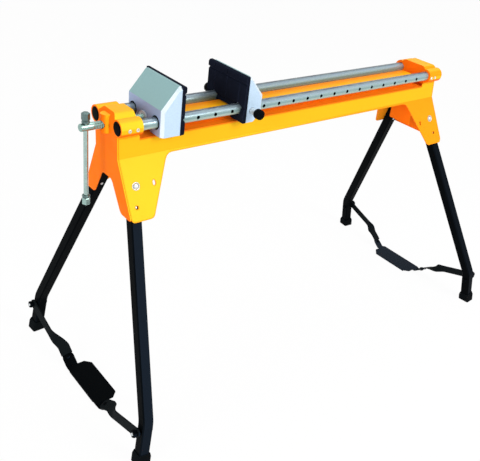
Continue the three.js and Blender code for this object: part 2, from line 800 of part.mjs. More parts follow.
function frontJaw() {
  const faceX = -frontJawFace;
  let jaw = jawCasting(faceX, 1, 0);
  const backX = jawBackX - cutMargin;
  jaw = boreOnRails(jaw, backX, faceX + cutMargin, railDiameter + 2 * runGap);
  const bushSeat = railDiameter + 2 * (bushWall + runGap + seatGap);
  jaw = boreOnRails(jaw, backX, jawBackX + bushDepth + seatGap, bushSeat);
  const onScrew = new THREE.Vector3(0, 0, screwZ);
  const bossEnd = jawBackX + screwSeat + collarThickness;
  const boss = rod(onScrew, axisX, jawBackX, bossEnd, collarDiameter);
  const socketEnd = jawBackX + screwSeat + runGap;
  const socket = rod(onScrew, axisX, backX, socketEnd, screwDiameter + 2 * runGap);
  const ridgeTop = railHeight - ridgeDrop + channelGap;
  const roofTop = [faceX, collarDiameter, railHeight + humpRise];
  const bossRoof = block([jawBackX, -collarDiameter, ridgeTop], roofTop);
  return jaw.add(boss.subtract(bossRoof)).subtract(socket);
}

// Plastic bush round a rail, in the back of the front jaw.
function jawBush() {
  const onRail = new THREE.Vector3(0, -railY, railHeight);
  const bore = railDiameter + 2 * runGap;
  const ring = rod(onRail, axisX, jawBackX - bushProud, jawBackX + bushDepth, bore + 2 * bushWall);
  return ring.subtract(rod(onRail, axisX, jawBackX - 2 * bushProud, jawBackX + 2 * bushDepth, bore));
}

const rearJawFace = lockHoleIndex * holePitch - lockSetback;
const lockX = lockHoleIndex * holePitch;
const jawSideY = -jawWidth / 2;
const lockMouthY = jawSideY - lockHousingReach;

// Rear jaw, with a seat for the near lock's housing and a cast boss for the far lock.
function rearJaw() {
  const back = rearJawFace + jawDepth;
  const onPin = new THREE.Vector3(lockX, 0, railHeight);
  const boss = rod(onPin, axisY, lockMouthY, jawSideY + lockSeatDepth, lockHousingDiameter);
  let jaw = jawCasting(rearJawFace, -1, rearToe).add(boss.mirror([0, 1, 0]));
  jaw = boreOnRails(jaw, rearJawFace - cutMargin, back + cutMargin, railDiameter + 2 * runGap);
  const bore = rod(onPin, axisY, lockMouthY - cutMargin, -railY, lockPinDiameter + 2 * runGap);
  jaw = jaw.subtract(bore).subtract(bore.mirror([0, 1, 0]));
  const seat = lockHousingDiameter + 2 * seatGap;
  return jaw.subtract(rod(onPin, axisY, jawSideY - cutMargin, jawSideY + lockSeatDepth, seat));
}

// Rubber pad with a lip along its top, a groove under the lip, and arches over the rails.
function jawPad(faceX, look) {
  const topZ = railHeight + jawTopRise + padOverhang;
  const footZ = railHeight - jawFootDrop;
  const back = faceX + look * seatGap;
  const face = back + look * padThickness;
  const lip = face + look * padLip;
  const grooveZ = topZ - padLipHeight - padGroove;
  const profile = [
    [back, footZ],
    [back, topZ],
    [lip - look * padLip, topZ, padLip / 2],
    [lip, topZ - padLip, padLip / 2],
    [lip, topZ - padLipHeight, padLip / 2],
    [face - look * padGroove, grooveZ, padGroove / 2],
    [face, grooveZ - padGroove],
    [face, footZ],
  ];
  const half = jawWidth / 2 + padOverhang;
  let pad = prismY(profile, -half, half);
  const far = 4 * padThickness;
  pad = boreOnRails(pad, faceX - far, faceX + far, railDiameter + 2 * channelGap);
  const channel = ridgeWidth / 2 + channelGap;
  const roof = railHeight - ridgeDrop + channelGap;
  return pad.subtract(block([faceX - far, -channel, footZ - cutMargin], [faceX + far, channel, roof]));
}

function placeJaws() {
  place("front_jaw", frontJaw(), "aluminium");
  place("front_jaw_pad", jawPad(-frontJawFace, 1), "rubber");
  placePair("front_jaw_bush", jawBush(), "plastic");
  place("rear_jaw", rearJaw(), "aluminium");
  place("rear_jaw_pad", jawPad(rearJawFace, -1), "rubber");
}

// Lock pins. They are drawn pulled out, with their tips just clear of the rails.
const lockTipY = -railY - railDiameter / 2 - runGap;
const lockKnobY = lockMouthY - runGap; // back edge of the knob
const lockChamberY = lockMouthY + lockMouthWall;
const lockCollarY = lockChamberY + springTurns * springPitch + springWire + 2 * seatGap;

function lockHousing() {
  const onPin = new THREE.Vector3(lockX, 0, railHeight);
  const inner = jawSideY + lockSeatDepth - seatGap;
  const tube = rod(onPin, axisY, lockMouthY, inner, lockHousingDiameter);
  const [mouth, open] = [lockMouthY - cutMargin, inner + cutMargin];
  const throat = rod(onPin, axisY, mouth, open, lockPinDiameter + 2 * runGap);
  const chamber = rod(onPin, axisY, lockChamberY, open, lockCollarDiameter + 2 * runGap);
  return tube.subtract(throat).subtract(chamber);
}

function lockPin() {
  const onPin = new THREE.Vector3(lockX, 0, railHeight);
  const end = lockKnobY - lockKnobLength + lockKnobFace + seatGap;
  const r = lockPinDiameter / 2;
  const profile = [
    [end, 0],
    [end, r],
    [lockCollarY, r],
    [lockCollarY, lockCollarDiameter / 2],
    [lockCollarY + lockCollarLength, lockCollarDiameter / 2],
    [lockCollarY + lockCollarLength, r],
    [lockTipY - lockPinChamfer, r],
    [lockTipY, r - lockPinChamfer],
    [lockTipY, 0],
  ];
  return revolve(profile, onPin, axisY, smallSides);
}

// Cup knob that runs over the housing as the pin goes home.
function lockKnob() {
  const onPin = new THREE.Vector3(lockX, 0, railHeight);
  const outer = lockKnobDiameter / 2;
  const cup = lockHousingDiameter / 2 + runGap;
  const front = lockKnobY - lockKnobLength;
  const chamfer = lockKnobChamfer;
  const profile = [
    [front, 0],
    [front, outer - chamfer],
    [front + chamfer, outer],
    [lockKnobY - chamfer / 2, outer],
    [lockKnobY, outer - chamfer / 2],
    [lockKnobY, cup],
    [front + lockKnobFace, cup],
    [front + lockKnobFace, 0],
  ];
  return revolve(profile, onPin, axisY, knobSides);
}

// Pin and knob of the far lock in one piece.
function lockPlunger() {
  const onPin = new THREE.Vector3(lockX, 0, railHeight);
  const inKnob = lockKnobY - lockKnobLength + lockKnobFace / 2;
  return lockKnob().add(rod(onPin, axisY, inKnob, lockTipY, lockPinDiameter, smallSides));
}

// Compression spring between the mouth of the housing and the collar of the pin.
function lockSpring() {
  const coil = (lockPinDiameter + lockCollarDiameter) / 4 + runGap / 2;
  const from = lockChamberY + springWire / 2 + seatGap;
  const to = from + springTurns * springPitch;
  const steps = springTurns * coilSteps;
  const rings = [];
  for (let step = 0; step <= steps; step++) {
    const angle = (step / coilSteps) * 2 * Math.PI;
    const out = new THREE.Vector3(Math.cos(angle), 0, Math.sin(angle));
    const centre = new THREE.Vector3(lockX, from + ((to - from) * step) / steps, railHeight);
    centre.addScaledVector(out, coil);
    const ring = [];
    for (let side = 0; side < wireSides; side++) {
      const a = (side / wireSides) * 2 * Math.PI;
      const point = centre.clone().addScaledVector(out, (Math.cos(a) * springWire) / 2);
      ring.push(point.addScaledVector(axisY, (Math.sin(a) * springWire) / 2));
    }
    rings.push(ring);
  }
  return loft(rings);
}

function placeLock() {
  place("lock_housing", lockHousing(), "zinc");
  place("lock_pin", lockPin(), "zinc");
  place("lock_knob", lockKnob(), "plastic");
  place("lock_spring", lockSpring(), "zinc");
  place("lock_pin_far", lockPlunger(), "plastic", farSide);
}

// Leg tube, open at the top and closed by its foot.
function legSolid(end, leg) {
  const footZ = footSole + seatGap;
  const outer = loft(legRings(leg, legHead, footZ, legTube, legCorner));
  const hollow = legTube - 2 * legWall;
  const innerCorner = legCorner - legWall / 2;
  const inner = loft(legRings(leg, legHead + cutMargin, footZ - legTube, hollow, innerCorner));
  let tube = outer.subtract(inner);
  const pivotHole = boltDiameter + 2 * runGap;
  tube = tube.subtract(rod(leg.pivot, skirtNormal, -legTube, legTube, pivotHole, smallSides));
  const [x, s] = buttonSpot(end, leg, 0);
  const pressHole = buttonDiameter + 2 * runGap;
  tube = tube.subtract(rod(bySkirt(x, s, 0), skirtNormal, -legTube / 2, 0, pressHole, smallSides));
  const linkHole = boltDiameter + 2 * seatGap;
  const onLeg = leg.atHeight(linkBoltHeight);
  return tube.subtract(rod(onLeg, leg.outer, -legTube, legTube, linkHole, smallSides));
}

// Rubber foot: a socket over the tube, cut level with the floor.
function footSolid(leg) {
  const top = footHeight;
  const ring = (z, width) => squareRing(leg.atHeight(z), leg.lowerInward, leg.outer, width, legCorner);
  const shoulder = top - footTaper;
  const mouth = legTube + 2 * footRim;
  const cap = loft([ring(-footWidth, footWidth), ring(shoulder, footWidth), ring(top, mouth)]);
  const bore = legTube + 2 * seatGap;
  const socket = loft([ring(footSole, bore), ring(top + legTube, bore)]);
  const centre = leg.atHeight(0);
  const wide = 3 * footWidth;
  const floor = block([centre.x - wide, centre.y - wide, -wide], [centre.x + wide, centre.y + wide, 0]);
  return cap.subtract(socket).subtract(floor);
}

// Pivot bolt through skirt and leg, with a domed head outside and a nut inside.
function pivotBolt(leg) {
  const origin = bySkirt(leg.pivotX, pivotDrop, 0);
  const shank = boltDiameter / 2;
  const headR = boltHeadDiameter / 2;
  const innerFace = -(sheet + swingGap + legTube + seatGap);
  const profile = [
    [innerFace - boltNutHeight - boltEnd, 0],
    [innerFace - boltNutHeight - boltEnd, shank],
    [innerFace - boltNutHeight, shank],
    [innerFace - boltNutHeight, headR],
    [innerFace, headR],
    [innerFace, shank],
    [seatGap, shank],
    [seatGap, headR],
    [seatGap + boltHeadHeight / 2, headR * boltDomeShare],
    [seatGap + boltHeadHeight, 0],
  ];
  return revolve(profile, origin, skirtNormal, smallSides);
}

// Snap button in the leg's outer wall, drawn pressed in, flush with the tube.
function snapButton(end, leg) {
  const [x, s] = buttonSpot(end, leg, 0);
  const face = -(sheet + seatGap);
  const collar = -(sheet + swingGap + legWall + buttonTravel + seatGap);
  const r = buttonDiameter / 2;
  const profile = [
    [collar - buttonCollarHeight, 0],
    [collar - buttonCollarHeight, r + buttonCollar],
    [collar, r + buttonCollar],
    [collar, r],
    [face - buttonChamfer, r],
    [face, r - buttonChamfer],
    [face, 0],
  ];
  return revolve(profile, bySkirt(x, s, 0), skirtNormal, smallSides);
}

// Chain at one end, on its near side: the link runs from a bolt on the leg's outer face to a rivet
// in the end tab of the foot plate. The rivet's direction is the one about which the foot plate turns
// on the link while the legs fold, so that the chain closes with the legs open and with them folded.
function spreaderChain(end, leg) {
  const onLeg = leg.atHeight(linkBoltHeight);
  const bolt = onLeg.clone().addScaledVector(leg.outer, linkStandoff + linkThickness / 2);
  const inX = axisX.clone().multiplyScalar(-end.outward);
  const rivetY = -pedalSpan / 2;
  const rivetZ = pedalHeight + tabRise;
  const lift = leg.outer.y * (rivetY - bolt.y) + leg.outer.z * (rivetZ - bolt.z);
  const edgeX = bolt.x - lift / leg.outer.x;
  const rivet = new THREE.Vector3(edgeX + (inX.x * linkFootWidth) / 2, rivetY, rivetZ);

  const foldAxis = skirtNormal.clone().multiplyScalar(-end.outward);
  const swingAxis = leg.outer.clone().multiplyScalar(-end.outward);
  const folded = new THREE.Quaternion().setFromAxisAngle(foldAxis, end.fold);
  const swung = (angle) => new THREE.Quaternion().setFromAxisAngle(swingAxis, angle);
  const foldedY = (angle) => {
    const point = rivet.clone().sub(bolt).applyQuaternion(swung(angle)).add(bolt);
    return point.sub(leg.pivot).applyQuaternion(folded).add(leg.pivot).y;
  };
  let [low, high] = [rad(swingFrom), rad(swingTo)];
  for (let pass = 0; pass < swingPasses; pass++) {
    const middle = (low + high) / 2;
    if (foldedY(middle) > rivetY === foldedY(low) > rivetY) low = middle;
    else high = middle;
  }
  const swing = low;
  const plate = new THREE.Quaternion().setFromAxisAngle(axisY, end.plateTurn);
  const turn = folded.clone().multiply(swung(swing)).invert().multiply(plate);
  if (turn.w < 0) turn.set(-turn.x, -turn.y, -turn.z, -turn.w);
  const turnAngle = 2 * Math.atan2(Math.hypot(turn.x, turn.y, turn.z), turn.w);
  const turnAxis = new THREE.Vector3(turn.x, turn.y, turn.z).normalize();
  const face = turnAxis.clone().multiplyScalar(Math.sign(turnAxis.z));

  const along = rivet.clone().sub(bolt).normalize();
  const up = along.clone().cross(leg.outer);
  up.multiplyScalar(Math.sign(up.z)).normalize();
  const across = axisX.clone().projectOnPlane(face).normalize();
  const inward = face.clone().cross(across);
  inward.multiplyScalar(Math.sign(inward.y));
  const places = { onLeg, bolt, rivet, inX, edgeX };
  const turns = { foldAxis, swingAxis, swing, turnAxis, turnAngle };
  return { ...places, ...turns, face, along, up, across, inward };
}

const chains = {
  front: spreaderChain(ends.front, legs.front),
  rear: spreaderChain(ends.rear, legs.rear),
};

// Ring of a strap: its middle, the way across it and the way through its thickness.
function strapRing(centre, across, through, width, thickness) {
  const ring = [];
  for (const [u, v] of [
    [-1, -1],
    [1, -1],
    [1, 1],
    [-1, 1],
  ]) {
    const point = centre.clone().addScaledVector(across, (u * width) / 2);
    ring.push(point.addScaledVector(through, (v * thickness) / 2));
  }
  return ring;
}

// Reach and width of the rings that round off the end of a strap.
function roundTip(width) {
  return roundEnd.map((share) => [(share * width) / 2, width * Math.sqrt(1 - share ** 2)]);
}

// Link: flat beside the leg, then wider and turned to lie flat on the tab of the foot plate. The far
// one stops short of its rivet.
function linkSolid(leg, chain, open) {
  const { bolt, rivet, face, along, up, across, inward } = chain;
  const half = linkWidth / 2;
  const onFace = along.clone().projectOnPlane(leg.outer).normalize();
  const start = bolt.clone().addScaledVector(onFace, half);
  const flat = rivet.clone().addScaledVector(inward, -linkFootWidth);
  const butt = bolt.clone().addScaledVector(onFace, -half);
  const onLeg = onFace.clone().cross(up);
  const rings = [butt, start].map((place) => strapRing(place, up, onLeg, linkWidth, linkThickness));
  for (let step = 0; step <= twistSteps; step++) {
    const turned = step / twistSteps;
    const share = THREE.MathUtils.smoothstep(turned, 0, 1);
    const wide = up.clone().lerp(across, share).normalize();
    const through = along.clone().cross(wide).normalize();
    const centre = start.clone().lerp(flat, THREE.MathUtils.lerp(linkTwistStart, 1, turned));
    const strayed = bolt.clone().sub(centre).dot(leg.outer);
    centre.addScaledVector(leg.outer, strayed * (1 - share));
    const width = THREE.MathUtils.lerp(linkWidth, linkFootWidth, share);
    rings.push(strapRing(centre, wide, through, width, linkThickness));
  }
  const through = inward.clone().cross(across);
  const tips = open ? [[-(rivetHeadDiameter / 2 + swingGap), linkFootWidth]] : roundTip(linkFootWidth);
  for (const [reach, width] of tips) {
    const tip = rivet.clone().addScaledVector(inward, reach);
    rings.push(strapRing(tip, across, through, width, linkThickness));
  }
  let strap = loft(rings);
  const boltHole = boltDiameter + 2 * runGap;
  strap = strap.subtract(rod(bolt, leg.outer, -linkThickness, linkThickness, boltHole, smallSides));
  const rivetHole = rivetDiameter + 2 * runGap;
  return strap.subtract(rod(rivet, face, -linkThickness, linkThickness, rivetHole, smallSides));
}

// Bolt that holds a link on its leg: head on the inner side, a shoulder that keeps the link clear of
// the foot, nut and bolt end outside.
function linkBolt(leg, chain) {
  const shank = boltDiameter / 2;
  const headR = boltHeadDiameter / 2;
  const inner = -(legTube / 2 + seatGap);
  const shoulder = [legTube / 2 + seatGap, linkStandoff - seatGap];
  const outer = linkStandoff + linkThickness + seatGap;
  const profile = [
    [inner - boltHeadHeight, 0],
    [inner - boltHeadHeight, headR * boltChamferShare],
    [inner, headR],
    [inner, shank],
    [shoulder[0], shank],
    [shoulder[0], headR],
    [shoulder[1], headR],
    [shoulder[1], shank],
    [outer, shank],
    [outer, headR],
    [outer + boltNutHeight, headR],
    [outer + boltNutHeight, shank],
    [outer + linkBoltReach, shank],
    [outer + linkBoltReach, 0],
  ];
  return revolve(profile, chain.onLeg, leg.outer, smallSides);
}

// Foot plate with turned-down long edges and a bent tab under each link.
function pedalSolid(chain) {
  const { inX, edgeX, rivet, face, across, inward } = chain;
  const topZ = pedalHeight;
  const innerX = edgeX + inX.x * pedalWidth;
  const half = pedalSpan / 2 - tabReach;
  const [lowX, highX] = [Math.min(edgeX, innerX), Math.max(edgeX, innerX)];
  const chamferX = innerX - inX.x * pedalCorner;
  const plate = [
    [edgeX, -half],
    [chamferX, -half],
    [innerX, pedalCorner - half],
    [innerX, half - pedalCorner],
    [chamferX, half],
    [edgeX, half],
  ];
  let pedal = prismZ(plate, topZ - pedalSheet, topZ);
  for (const from of [lowX, highX - pedalSheet]) {
    const low = [from, pedalCorner - half, topZ - pedalLip];
    pedal = pedal.add(block(low, [from + pedalSheet, half - pedalCorner, topZ]));
  }
  const under = rivet.clone().addScaledVector(face, -(linkThickness / 2 + seatGap + pedalSheet / 2));
  const root = new THREE.Vector3(rivet.x, -half + pedalSheet, topZ - pedalSheet / 2);
  const through = inward.clone().cross(across);
  const ringAt = (reach, width) => {
    const centre = under.clone().addScaledVector(inward, reach);
    return strapRing(centre, across, through, width, pedalSheet);
  };
  const tip = roundTip(linkFootWidth).map(([reach, width]) => ringAt(-reach, width));
  const rootThrough = axisZ.clone().multiplyScalar(Math.sign(through.z));
  const rootRing = strapRing(root, axisX, rootThrough, linkFootWidth, pedalSheet);
  const bendRing = ringAt(linkFootWidth / 2 + tabBend, linkFootWidth);
  let tab = loft([...tip.reverse(), bendRing, rootRing]);
  const deep = 2 * linkThickness;
  tab = tab.subtract(rod(under, face, -deep, deep, rivetDiameter + 2 * seatGap, smallSides));
  return pedal.add(tab).add(tab.mirror([0, 1, 0]));
}

// Rivet that holds a link on its tab.
function plateRivet(chain) {
  const shank = rivetDiameter / 2;
  const headR = rivetHeadDiameter / 2;
  const top = linkThickness / 2 + seatGap;
  const under = -(linkThickness / 2 + pedalSheet + 2 * seatGap);
  const profile = [
    [under - rivetHeadHeight, 0],
    [under - rivetHeadHeight, headR * rivetCrownShare],
    [under, headR],
    [under, shank],
    [top, shank],
    [top, headR],
    [top + rivetHeadHeight, headR * rivetCrownShare],
    [top + rivetHeadHeight, 0],
  ];
  return revolve(profile, chain.rivet, chain.face, smallSides);
}

function placeLegs() {
  for (const [key, end] of Object.entries(ends)) {
    const leg = legs[key];
    const chain = chains[key];
    placePair(`leg_${key}`, legSolid(end, leg), "blackPaint");
    placePair(`foot_${key}`, footSolid(leg), "rubber");
    placePair(`pivot_bolt_${key}`, pivotBolt(leg), "zinc");
    placePair(`snap_button_${key}`, snapButton(end, leg), "zinc");
    placePair(`spreader_bolt_${key}`, linkBolt(leg, chain), "blackPaint");
    place(`spreader_link_${key}_near`, linkSolid(leg, chain, false), "blackPaint");
    place(`spreader_link_${key}_far`, linkSolid(leg, chain, true), "blackPaint", farSide);
    place(`foot_plate_${key}`, pedalSolid(chain), "blackPaint");
    placePair(`plate_rivet_${key}`, plateRivet(chain), "blackPaint");
  }
}

placeBody();
placeRails();
placeScrew();
placeJaws();
placeLock();
placeLegs();

// Centre the finished bench over its footprint and note where its joints turn and slide.
const box = new THREE.Box3().setFromObject(bench);
bench.position.x = -(box.min.x + box.max.x) / 2;
const moved = (point) => point.clone().add(bench.position);
const screw = moved(new THREE.Vector3(tommyX, 0, screwZ));
const noted = { screw, tommyTravel, lockPinTravel, skirtNormal };
for (const key of Object.keys(ends)) {
  const { bolt, rivet, foldAxis, swingAxis, swing, turnAxis, turnAngle } = chains[key];
  const places = { pivot: moved(legs[key].pivot), bolt: moved(bolt), rivet: moved(rivet) };
  noted[key] = { ...places, foldAxis, swingAxis, swing, turnAxis, turnAngle };
}
bench.userData = noted;

export default bench;
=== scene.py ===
"""Looks of a folding clamping workbench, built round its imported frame. Lengths are in metres."""

import json
import math

import bmesh
import bpy
from mathutils import Matrix, Vector


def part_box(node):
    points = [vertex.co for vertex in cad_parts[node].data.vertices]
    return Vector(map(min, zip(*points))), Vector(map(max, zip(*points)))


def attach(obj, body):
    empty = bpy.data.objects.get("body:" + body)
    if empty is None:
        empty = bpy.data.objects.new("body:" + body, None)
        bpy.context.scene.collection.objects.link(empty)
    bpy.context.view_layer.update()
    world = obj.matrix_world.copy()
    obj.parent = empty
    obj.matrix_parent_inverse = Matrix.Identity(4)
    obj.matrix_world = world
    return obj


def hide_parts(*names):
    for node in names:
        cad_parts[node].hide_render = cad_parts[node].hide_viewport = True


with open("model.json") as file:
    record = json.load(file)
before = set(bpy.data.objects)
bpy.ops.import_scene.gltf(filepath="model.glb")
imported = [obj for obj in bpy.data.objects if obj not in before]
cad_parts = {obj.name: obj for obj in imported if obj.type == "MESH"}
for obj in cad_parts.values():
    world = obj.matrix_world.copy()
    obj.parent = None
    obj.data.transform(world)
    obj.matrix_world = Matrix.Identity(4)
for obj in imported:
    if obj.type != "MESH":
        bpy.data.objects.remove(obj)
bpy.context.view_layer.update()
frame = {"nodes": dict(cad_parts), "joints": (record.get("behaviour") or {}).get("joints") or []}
nodes = frame["nodes"]
joints = {joint["name"]: joint for joint in frame["joints"]}

ENDS = ("front", "rear")
SIDES = ("near", "far")
OUTWARD = {"near": -1, "far": 1}

# Camera of the photograph
CAMERA_PLACE = Vector((-1.30054, -1.26055, 1.33941))
CAMERA_AZIMUTH = math.radians(-41.801)
CAMERA_ELEVATION = math.radians(30.145)
CAMERA_ROLL = math.radians(7.228)
CAMERA_LENS = 51.17
SENSOR_WIDTH = 36

# Sizes of the added pieces
RAIL_RADIUS = 0.013
RAIL_BORE = 0.0105
RAIL_SIDES = 64
LOCK_HOLE_RADIUS = 0.0045
LOCK_HOLE_PITCH = 0.050
LOCK_HOLE_COUNT = 17
LOCK_PIN_HOLE = 3
SCREW_LEAD = 0.004
THREAD_DEPTH = 0.0011
THREAD_STEPS = 8
THREAD_START = 0.030
THREAD_RUNOUT = 0.004
SCREW_CHAMFER = 0.002
SCREW_SIDES = 40
TOMMY_HOLE = 0.006
SET_SCREW_RADIUS = 0.0042
SET_SCREW_PROUD = 0.0012
SET_SCREW_DROP = 0.0015
SET_SCREW_PLACES = {"front": (-0.5869, -0.5670), "rear": (0.4617, 0.4787)}
BOLT_HEAD = 0.005
WASHER_INNER = 0.0074
WASHER_OUTER = 0.0096
WASHER_HEIGHT = 0.0014
SKIN = 0.0003
PAD_FIELD = 0.0092
PAD_GROOVE = 0.0050
PAD_GROOVE_BREADTH = 0.0042
PAD_TOP_LIP = 0.019
PAD_LOW_GROOVE = 0.078
PAD_SEAMS = (-0.050, 0.0, 0.050)
PAD_SEAM_WIDTH = 0.0026
PAD_SEAM_DEPTH = 0.0030
PAD_ARCH = 0.0155
PAD_CHANNEL = 0.0285
KNOB_FLUTES = 20
KNOB_FLUTE_DEPTH = 0.0008
KNOB_CROSS = 0.0022
KNOB_CROSS_DEPTH = 0.0012
KNOB_FACE = 0.0035
LOCK_PIN_RADIUS = 0.004
LOCK_PIN_CHAMFER = 0.0015
CAP_FLAT_SHARE = 0.94
BUTTON_TO_INNER_WALL = 0.0232
BUTTON_END_RADIUS = 0.0036
BUTTON_END_HEIGHT = 0.0025
NUT_SEAT = 0.0045
NUT_FACE = 0.0128
NUT_RADIUS = 0.0102
NUT_INNER = 0.00815
NUT_HOLE = 0.0050
BOLT_END = 0.01135
BOLT_END_RADIUS = 0.0040
LINK_WIDTH = 0.025
LINK_FOOT_WIDTH = 0.032
LINK_SHEET = 0.004
LINK_TWIST_START = 0.6
LINK_STEPS = 32
LINK_ROUND = (0.0, 0.3, 0.55, 0.75, 0.9, 0.98)
LINK_BOLT_HOLE = 0.0045
LINK_RIVET_HOLE = 0.0035
LINK_OPEN_END = 0.0077
WEB_SETBACK = 0.0482
WEB_HALF = 0.0400
WEB_SHOULDER_HALF = 0.0468
WEB_SHOULDER = 0.680
WEB_LOW = 0.597
WEB_HIGH = 0.722
WEB_ROUND = 0.005
WEB_SHEET = 0.002


def srgb(red, green, blue):
    """A colour as a screen shows it, in the linear form that shaders take."""
    def linear(channel):
        share = channel / 255
        return share / 12.92 if share <= 0.04045 else ((share + 0.055) / 1.055) ** 2.4
    return (linear(red), linear(green), linear(blue), 1.0)


# Paint colours; besides the face colour these are painted light and shade: lit skirts and tops, shaded rear skirts,
# ridge, ledges, rims and end faces.
PAINT_FACE = srgb(251, 188, 30)
PAINT_SKIRT_LIT = srgb(255, 208, 44)
PAINT_REAR_SKIRT_SHADE = srgb(250, 160, 24)
PAINT_TOP_LIT = srgb(255, 184, 48)
PAINT_RIDGE_SHADE = srgb(255, 182, 26)
PAINT_RIDGE_FAR_SHADE = srgb(246, 140, 18)
PAINT_LEDGE_SHADE = srgb(255, 126, 22)
PAINT_RIM_SHADE = srgb(246, 150, 24)
PAINT_END_SHADE = srgb(255, 112, 14)
CHROME = srgb(178, 202, 196)
# Painted reflections: studio bands on the rails by how far the surface faces up or down.
CHROME_REFLECTION_BANDS = ((-1.00, srgb(176, 176, 168)), (-0.35, srgb(176, 198, 188)), (0.00, srgb(128, 158, 158)),
                (0.35, srgb(150, 176, 180)), (0.65, srgb(156, 176, 192)), (0.87, srgb(132, 150, 166)),
                (0.98, srgb(72, 76, 92)))
# Cast aluminium colours by facing: painted light on sides, painted highlight on bevels, painted shade on the sloped
# and upright backs.
CAST_SIDE_LIT = srgb(200, 224, 246)
CAST_BEVEL_HIGHLIGHT = srgb(228, 241, 250)
CAST_SLOPE_SHADE = srgb(138, 175, 176)
CAST_BACK_SHADE = srgb(156, 174, 208)
BLACK_PAINT = srgb(5, 7, 9)
# Painted light on the lit outer sides of black parts.
BLACK_SIDE_LIT = srgb(22, 30, 40)
STRAP_PAINT = srgb(19, 23, 25)
# Painted light: a lighter black for the rear foot plates, for the light they catch.
LIT_PLATE_PAINT = srgb(32, 39, 48)
RUBBER = srgb(20, 24, 36)
FOOT_RUBBER = srgb(13, 16, 18)
PLASTIC = srgb(9, 10, 13)
ZINC = srgb(216, 222, 224)
CAP_STEEL = srgb(112, 134, 132)
CAP_BRIGHT = srgb(170, 200, 194)
SCREW_STEEL = srgb(152, 184, 176)
BRONZE = srgb(172, 128, 70)
# Painted shade: near black for the inside of the rail tubes.
BORE_SHADE = srgb(16, 18, 20)
FLOOR = srgb(250, 250, 250)


class Finish:
    """A node material with one principled shader, grown by small steps."""

    def __init__(self, name, roughness, metallic=0.0, specular=0.5):
        self.material = bpy.data.materials.new(name)
        self.material.use_nodes = True
        self.tree = self.material.node_tree
        self.shader = self.tree.nodes["Principled BSDF"]
        self.coordinates = self.node("ShaderNodeTexCoord")
        self.give("Roughness", roughness)
        self.give("Metallic", metallic)
        self.give("Specular IOR Level", specular)

    def node(self, kind, **settings):
        made = self.tree.nodes.new(kind)
        for key, value in settings.items():
            setattr(made, key, value)
        return made

    def feed(self, socket, value):
        if isinstance(value, bpy.types.NodeSocket):
            self.tree.links.new(value, socket)
        else:
            socket.default_value = value

    def give(self, name, value):
        self.feed(self.shader.inputs[name], value)

    def noise(self, scale, detail=3.0, stretch=(1, 1, 1)):
        """Noise over the piece's own place, with that many grains in a metre."""
        mapping = self.node("ShaderNodeMapping")
        self.feed(mapping.inputs["Vector"], self.coordinates.outputs["Object"])
        mapping.inputs["Scale"].default_value = stretch
        noise = self.node("ShaderNodeTexNoise")
        self.feed(noise.inputs["Vector"], mapping.outputs["Vector"])
        noise.inputs["Scale"].default_value = scale
        noise.inputs["Detail"].default_value = detail
        return noise.outputs["Fac"]

    def span(self, value, low, high, to_low=0.0, to_high=1.0):
        """The value taken from one span to another, and held at its ends."""
        spread = self.node("ShaderNodeMapRange", interpolation_type="SMOOTHSTEP")
        self.feed(spread.inputs["Value"], value)
        spread.inputs["From Min"].default_value = low
        spread.inputs["From Max"].default_value = high
        spread.inputs["To Min"].default_value = to_low
        spread.inputs["To Max"].default_value = to_high
        return spread.outputs["Result"]

    def mix(self, share, first, second):
        mix = self.node("ShaderNodeMix", data_type="RGBA")
        self.feed(mix.inputs[0], share)
        self.feed(mix.inputs[6], first)
        self.feed(mix.inputs[7], second)
        return mix.outputs[2]

    def bands(self, value, stops):
        """Colours along a value that runs from -1 to 1."""
        ramp = self.node("ShaderNodeValToRGB")
        self.feed(ramp.inputs[0], self.math("MULTIPLY", self.math("ADD", value, 1.0), 0.5))
        elements = ramp.color_ramp.elements
        while len(elements) < len(stops):
            elements.new(1.0)
        for element, (place, colour) in zip(elements, stops):
            element.position = (place + 1) / 2
            element.color = colour
        return ramp.outputs[0]

    def math(self, operation, first, second=0.0):
        node = self.node("ShaderNodeMath", operation=operation)
        self.feed(node.inputs[0], first)
        self.feed(node.inputs[1], second)
        return node.outputs[0]

    def axes(self, output):
        """X, Y and Z of one of the piece's own coordinates."""
        split = self.node("ShaderNodeSeparateXYZ")
        self.feed(split.inputs[0], self.coordinates.outputs[output])
        return split.outputs

    def bump(self, height, strength, distance):
        bump = self.node("ShaderNodeBump")
        self.feed(bump.inputs["Height"], height)
        bump.inputs["Strength"].default_value = strength
        bump.inputs["Distance"].default_value = distance
        self.give("Normal", bump.outputs["Normal"])

    def edges(self, radius):
        """Near 1 along edges within that radius, where a coat wears first; also used for painted shade and highlights
        along edges.
        """
        bevel = self.node("ShaderNodeBevel", samples=4)
        bevel.inputs["Radius"].default_value = radius
        flat = self.node("ShaderNodeNewGeometry")
        dot = self.node("ShaderNodeVectorMath", operation="DOT_PRODUCT")
        self.feed(dot.inputs[0], bevel.outputs["Normal"])
        self.feed(dot.inputs[1], flat.outputs["Normal"])
        return self.span(dot.outputs["Value"], 0.99, 0.85)


def shade(colour, factor):
    return tuple(channel * factor for channel in colour[:3]) + (1.0,)


